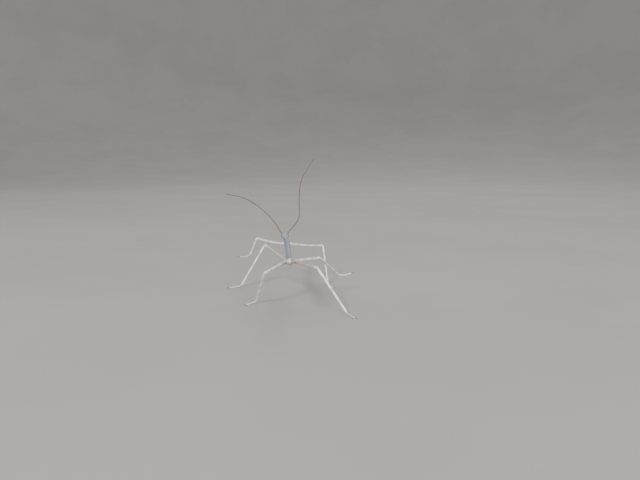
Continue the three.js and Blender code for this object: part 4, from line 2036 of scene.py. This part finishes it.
@dataclass(frozen=True)
class CuticleFinish:
    """The skin: blue-grey thorax, sage tail, pale lilac legs and brown feelers, finely grained."""

    name: str = "cuticle"
    thorax: str = "7a7f88"
    thorax_dark: str = "585c65"
    head: str = "8d969b"
    tail: str = "9aa28f"
    tail_dark: str = "6c7467"
    cream: str = "e2e2d6"
    belly: str = "a59d96"
    leg: str = "d9cfd6"
    leg_dark: str = "9a8c95"
    # Painted shade: the dim brown laid on the thighs that lay in shade.
    thigh_painted_shade: str = "a0918b"
    # Painted shade: the darker tone of the legs' undersides.
    leg_underside_painted_shade: str = "ab9ea6"
    foot: str = "c2b5b2"
    joint: str = "93837d"
    feeler: str = "6e6763"
    feeler_tip: str = "68564f"
    feeler_ring: str = "48403c"
    patches: Mottle = Mottle(1.1, 0.47, 0.75)
    flecks: Mottle = Mottle(4.5, 0.36, 0.5)
    pale_spots: Mottle = Mottle(2.3, 0.34, 0.35)
    flank: Stripe = Stripe(-0.12, 0.24, 0.45)
    cheek: Stripe = Stripe(0.16, 0.1, 0.6)
    leg_bands: tuple[Stripe, ...] = tuple(Stripe(centre, 0.075, 0.6) for centre in (0.24, 0.5, 0.76))
    leg_breaks: Mottle = Mottle(2.2, 0.56)
    leg_flecks: Mottle = Mottle(5.0, 0.37, 0.4)
    granules: float = 7.0
    relief: float = 0.00002

    def trunk_colour(self, graph: Graph, effects: Effects) -> bpy.types.NodeSocket:
        """Colours thorax, abdomen and head, with painted light on the left side of the tail end.

        Args:
            graph: The material's nodes.
            effects: The shared effects.

        Returns:
            The colour.
        """
        along, over, lean = graph.marked("along"), graph.marked("over"), graph.marked("lean")
        forward = graph.fade(along, 0.34, 0.6)
        colour = graph.blend(forward, shade(self.tail), shade(self.thorax))
        colour = graph.blend(graph.fade(along, 0.93, 0.955), colour, shade(self.head))
        dark = graph.blend(forward, shade(self.tail_dark), shade(self.thorax_dark))
        for layer, tint in (
            (self.patches, dark), (self.flecks, dark), (self.pale_spots, shade(self.cream)),
        ):
            colour = layer.over(graph, effects, colour, tint)
        under = graph.fade(over, -0.15, -0.8)
        colour = graph.blend(graph.product(under, 0.8), colour, shade(self.belly))
        colour = graph.blend(self.flank.mask(graph, effects, over), colour, shade(self.cream))
        back_line = graph.product(graph.fade(over, 0.965, 0.995), graph.fade(along, 0.95, 0.88))
        colour = graph.blend(graph.product(back_line, 0.45), colour, dark)
        cheek = self.cheek.mask(graph, effects, over, graph.fade(along, 0.9, 0.94))
        colour = graph.blend(cheek, colour, shade(self.thorax_dark))
        # Painted light: the left side of the tail end is lightened towards cream, as if lit from that side.
        painted_light_tail_left = graph.product(graph.fade(along, 0.13, 0.02), graph.fade(lean, 0.25, -0.45))
        return graph.blend(graph.product(painted_light_tail_left, 0.8), colour, shade(self.cream))

    def leg_colour(self, graph: Graph, effects: Effects) -> bpy.types.NodeSocket:
        """Colours the legs and palps, with faint bands, painted shade on their undersides and on some
        thighs.

        Args:
            graph: The material's nodes.
            effects: The shared effects.

        Returns:
            The colour.
        """
        along, over = graph.marked("along"), graph.marked("over")
        # Painted shade: some thighs are turned a dim brown towards the hip, by how much each is listed.
        painted_shade = graph.product(graph.marked("painted_shade"), graph.fade(along, 1.0, 0.8), 0.85)
        colour = graph.blend(painted_shade, shade(self.leg), shade(self.thigh_painted_shade))
        # Painted shade: the undersides of the legs are darkened.
        under = graph.fade(over, 0.1, -0.9)
        colour = graph.blend(graph.product(under, 0.4), colour, shade(self.leg_underside_painted_shade))
        breaks = self.leg_breaks.mask(graph, effects)
        for band in self.leg_bands:
            shown = band.mask(graph, effects, along, breaks)
            colour = graph.blend(shown, colour, shade(self.leg_dark))
        colour = self.leg_flecks.over(graph, effects, colour, shade(self.leg_dark))
        return graph.blend(graph.product(graph.marked("foot"), 0.7), colour, shade(self.foot))

    def feeler_colour(self, graph: Graph) -> bpy.types.NodeSocket:
        """Colours the feelers, redder towards the tip.

        Args:
            graph: The material's nodes.

        Returns:
            The colour.
        """
        reach = graph.fade(graph.marked("along"), 0.15, 0.95)
        colour = graph.blend(reach, shade(self.feeler), shade(self.feeler_tip))
        cloud = graph.fade(graph.noise(graph.place(), 0.8 * PER_MM), 0.45, 0.7)
        return graph.blend(graph.product(cloud, 0.45), colour, shade(self.feeler_ring))

    def build(self, effects: Effects) -> bpy.types.Material:
        """Makes the material.

        Args:
            effects: The shared effects.

        Returns:
            The material.
        """
        material, graph, shader = new_material(self.name)
        leg, feeler, seam = graph.marked("leg"), graph.marked("feeler"), graph.marked("seam")
        colour = graph.blend(leg, self.trunk_colour(graph, effects), self.leg_colour(graph, effects))
        colour = graph.blend(feeler, colour, self.feeler_colour(graph))
        crease = graph.blend(feeler, shade(self.joint), shade(self.feeler_ring))
        colour = graph.blend(graph.product(seam, 0.62), colour, crease)
        graph.feed(shader.inputs["Base Color"], colour)

        spot = graph.place()
        cloud = graph.noise(spot, 3.0 * PER_MM)
        gloss = graph.math("ADD", graph.product(cloud, 0.22), graph.product(seam, 0.1))
        graph.feed(shader.inputs["Roughness"], graph.math("ADD", gloss, 0.38))
        shader.inputs["Specular IOR Level"].default_value = 0.42
        shader.inputs["Subsurface Weight"].default_value = 0.12
        shader.inputs["Subsurface Radius"].default_value = (0.5, 0.36, 0.28)
        shader.inputs["Subsurface Scale"].default_value = METRES_PER_MM

        grain = graph.effect(effects.grain, Spot=spot, Scale=self.granules * PER_MM, Fine=0.5)
        rumple = graph.product(graph.noise(spot, 1.6 * PER_MM, 4.0), 2.2)
        height = graph.math("ADD", grain, rumple)
        graph.feed(shader.inputs["Normal"], graph.relief(height, self.relief))
        return material


@dataclass(frozen=True)
class LensFinish:
    """The eyes: glossy grey-brown lenses with a darker stripe across and dark rims."""

    name: str = "eye_lens"
    brown: str = "8d8074"
    stripe: str = "55473b"
    rim: str = "3a302a"
    middle: Stripe = Stripe(0.1, 0.55)
    flecks: Mottle = Mottle(3.0, 0.45, 0.5)
    coat: float = 0.5
    coat_roughness: float = 0.08

    def build(self, effects: Effects) -> bpy.types.Material:
        """Makes the material.

        Args:
            effects: The shared effects.

        Returns:
            The material.
        """
        material, graph, shader = new_material(self.name)
        stripe = self.middle.mask(graph, effects, graph.marked("height"))
        colour = graph.blend(stripe, shade(self.brown), shade(self.stripe))
        colour = self.flecks.over(graph, effects, colour, shade(self.stripe))
        lens = graph.marked("lens")
        graph.feed(shader.inputs["Base Color"], graph.blend(lens, shade(self.rim), colour))
        roughness = graph.math("SUBTRACT", 0.42, graph.product(lens, 0.24))
        graph.feed(shader.inputs["Roughness"], roughness)
        shader.inputs["Coat Weight"].default_value = self.coat
        shader.inputs["Coat Roughness"].default_value = self.coat_roughness
        return material


@dataclass(frozen=True)
class HornFinish:
    """The claws: brown horn, darkest at the points."""

    name: str = "claw_horn"
    root: str = "8c7160"
    point: str = "3d2a20"
    flecks: Mottle = Mottle(5.0, 0.4, 0.35)
    granules: float = 9.0
    relief: float = 0.00001

    def build(self, effects: Effects) -> bpy.types.Material:
        """Makes the material.

        Args:
            effects: The shared effects.

        Returns:
            The material.
        """
        material, graph, shader = new_material(self.name)
        spot = graph.place()
        reach = graph.fade(graph.marked("reach"), 0.25, 0.85)
        colour = graph.blend(reach, shade(self.root), shade(self.point))
        colour = self.flecks.over(graph, effects, colour, shade(self.point))
        graph.feed(shader.inputs["Base Color"], colour)
        cloud = graph.noise(spot, 4.0 * PER_MM)
        graph.feed(shader.inputs["Roughness"], graph.math("ADD", graph.product(cloud, 0.2), 0.2))
        grain = graph.effect(effects.grain, Spot=spot, Scale=self.granules * PER_MM, Fine=0.5)
        graph.feed(shader.inputs["Normal"], graph.relief(grain, self.relief))
        return material


@dataclass(frozen=True)
class PaperFinish:
    """The floor: matte pale paper, barely uneven in tone."""

    name: str = "floor_paper"
    pale: str = "a19e99"
    dark: str = "9e9b96"

    def build(self, effects: Effects) -> bpy.types.Material:
        """Makes the material.

        Args:
            effects: The shared effects.

        Returns:
            The material.
        """
        material, graph, shader = new_material(self.name)
        cloud = graph.effect(effects.mottling, Spot=graph.place(), Scale=9.0, Cover=0.5)
        graph.feed(shader.inputs["Base Color"], graph.blend(cloud, shade(self.pale), shade(self.dark)))
        graph.feed(shader.inputs["Roughness"], graph.math("ADD", graph.product(cloud, 0.06), 0.86))
        shader.inputs["Specular IOR Level"].default_value = 0.15
        return material


# ---- studio ----


@dataclass
class Studio:
    """The pale floor, the soft lights and the camera."""

    offset: Vector
    camera_place: Vector = field(default_factory=lambda: Vector((-4.02, -179.92, 41.0)))
    camera_dip: float = 7.595
    camera_turn: float = -4.2188
    lens: float = 33.75
    sensor: float = 36.0
    air_colour: tuple[float, float, float, float] = (0.86, 0.88, 0.92, 1.0)
    air_strength: float = 0.5
    aim: Vector = field(default_factory=lambda: Vector((0.0, 0.0, 0.012)))
    floor_rounds: tuple[tuple[float, float], ...] = (
        (0.9, 0.0), (1.1, 0.012), (1.3, 0.05), (1.5, 0.13), (1.65, 0.26), (1.74, 0.45), (1.78, 0.7),
    )

    def floor(self, effects: Effects) -> None:
        """Lays a wide pale floor level with the soles, whose far edge sweeps up all round.

        Args:
            effects: The shared effects.
        """
        deselect_all()
        reach = self.floor_rounds[0][0]
        bpy.ops.mesh.primitive_circle_add(vertices=96, radius=reach, fill_type="NGON")
        floor = bpy.context.object
        floor.name = "floor"
        with editing(floor):
            bpy.ops.mesh.select_mode(type="EDGE")
            bpy.ops.mesh.select_all(action="SELECT")
            for before, after in zip(self.floor_rounds, self.floor_rounds[1:]):
                rise = (0.0, 0.0, after[1] - before[1])
                bpy.ops.mesh.extrude_edges_move(TRANSFORM_OT_translate={"value": rise})
                growth = after[0] / before[0]
                bpy.ops.transform.resize(value=(growth, growth, 1.0), center_override=(0.0, 0.0, 0.0))
        smooth(floor)
        floor.data.materials.append(PaperFinish().build(effects))

    def light(self, name: str, spot: tuple[float, float, float], size: float, power: float) -> None:
        """Hangs one soft square light that faces the insect.

        Args:
            name: Its name.
            spot: Where it hangs, in metres.
            size: Its side.
            power: Its strength in watts.
        """
        data = bpy.data.lights.new(name, "AREA")
        data.shape = "SQUARE"
        data.size = size
        data.energy = power
        lamp = bpy.data.objects.new(name, data)
        bpy.context.scene.collection.objects.link(lamp)
        lamp.location = spot
        lamp.rotation_euler = (self.aim - Vector(spot)).to_track_quat("-Z", "Y").to_euler()

    def air(self) -> None:
        """Fills the room with a faint, even and slightly cool light."""
        world = bpy.data.worlds.new("room")
        world.use_nodes = True
        backdrop = world.node_tree.nodes["Background"]
        backdrop.inputs["Color"].default_value = self.air_colour
        backdrop.inputs["Strength"].default_value = self.air_strength
        bpy.context.scene.world = world

    def camera(self) -> None:
        """Sets the camera low behind the insect."""
        data = bpy.data.cameras.new("camera")
        data.lens = self.lens
        data.sensor_width = self.sensor
        data.clip_start = 0.005
        data.clip_end = 30.0
        camera = bpy.data.objects.new("camera", data)
        bpy.context.scene.collection.objects.link(camera)
        camera.location = (self.camera_place + self.offset) * METRES_PER_MM
        camera.rotation_euler = (math.radians(90 - self.camera_dip), 0.0, math.radians(self.camera_turn))
        bpy.context.scene.camera = camera

    def build(self, effects: Effects) -> None:
        """Sets the whole studio up.

        Args:
            effects: The shared effects.
        """
        self.camera()
        self.floor(effects)
        self.air()
        self.light("key", (-0.42, -0.95, 0.66), 0.24, 17.0)
        self.light("fill", (0.3, -1.05, 0.2), 0.45, 15.0)
        self.light("back", (0.3, 0.9, 0.9), 0.4, 6.0)


# ---- the whole insect ----


def part_offset(spine: Spine, head: Head) -> Vector:
    """Finds how far the solids were moved from the insect's own frame, by its eyes.

    Args:
        spine: The body's line.
        head: Says where the eyes are.

    Returns:
        The move, in millimetres.
    """
    corners = [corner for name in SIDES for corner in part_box(f"eye_{name}")]
    middle = sum(corners, Vector()) / len(corners) / METRES_PER_MM
    expected = (head.eye_centre(-1) + head.eye_centre(1)) / 2
    move = middle - expected
    return Vector((move.x, move.y, 0.0))


def settle(piece: bpy.types.Object, offset: Vector) -> None:
    """Shrinks a piece to metres where the solids stand.

    Args:
        piece: The piece, in millimetres in the insect's own frame.
        offset: How far the solids were moved from that frame.
    """
    piece.scale = (METRES_PER_MM,) * 3
    piece.location = offset * METRES_PER_MM
    apply_placing(piece)


def finish_piece(
    piece: bpy.types.Object, offset: Vector, material: bpy.types.Material, nodes: Sequence[str]
) -> None:
    """Settles, dresses and mounts one piece.

    Args:
        piece: The piece, in millimetres.
        offset: How far the solids were moved.
        material: Its finish.
        nodes: The solids that it stands for.
    """
    settle(piece, offset)
    piece.data.materials.clear()
    piece.data.materials.append(material)
    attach(piece, "root")
    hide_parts(*nodes)
    log.info("%s: %d faces", piece.name, len(piece.data.polygons))


def main() -> None:
    """Builds the insect and the studio in order."""
    logging.basicConfig(level=logging.INFO, format="%(name)s: %(message)s")
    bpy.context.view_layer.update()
    spine = Spine(SPINE_KNOTS)
    head = Head(spine)
    offset = part_offset(spine, head)
    effects = Effects()
    Studio(offset).build(effects)
    legs = []
    for name, pose in LEG_POSES.items():
        plan = LEG_PLANS[pose.pair]
        legs.append(Leg(name, plan, LegLines(plan, pose)))
    feelers = [Feeler(name, feeler_path(spine, name)) for name in SIDES]
    trunk = Trunk(spine)

    limbs = [trunk.limb(), *head.limbs(), *(feeler.limb() for feeler in feelers)]
    joints = []
    for leg in legs:
        limbs += leg.limbs()
        joints += leg.joints()
    flesh = [
        [trunk.build()],
        [*TailTip(spine).build(), *Cerci(spine).build()],
        [*head.build(), *(feeler.build() for feeler in feelers)],
        *(leg.build() for leg in legs),
    ]
    skin = Skin(flesh, joints, limbs).build()
    kept = ("eye_", "claws_")
    flesh_nodes = [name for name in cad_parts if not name.startswith(kept)]
    finish_piece(skin, offset, CuticleFinish().build(effects), flesh_nodes)

    lens = LensFinish().build(effects)
    horn = HornFinish().build(effects)
    face = spine.at(head.eye_forward)
    for name, side in SIDES.items():
        eye = Eye(name, face, head.eye_centre(side), head.eye_radii).build()
        finish_piece(eye, offset, lens, [f"eye_{name}"])
    for leg in legs:
        claws = Claws(leg.name, leg.lines.foot).build()
        finish_piece(claws, offset, horn, [f"claws_{leg.name}"])


if __name__ == "__main__":
    main()
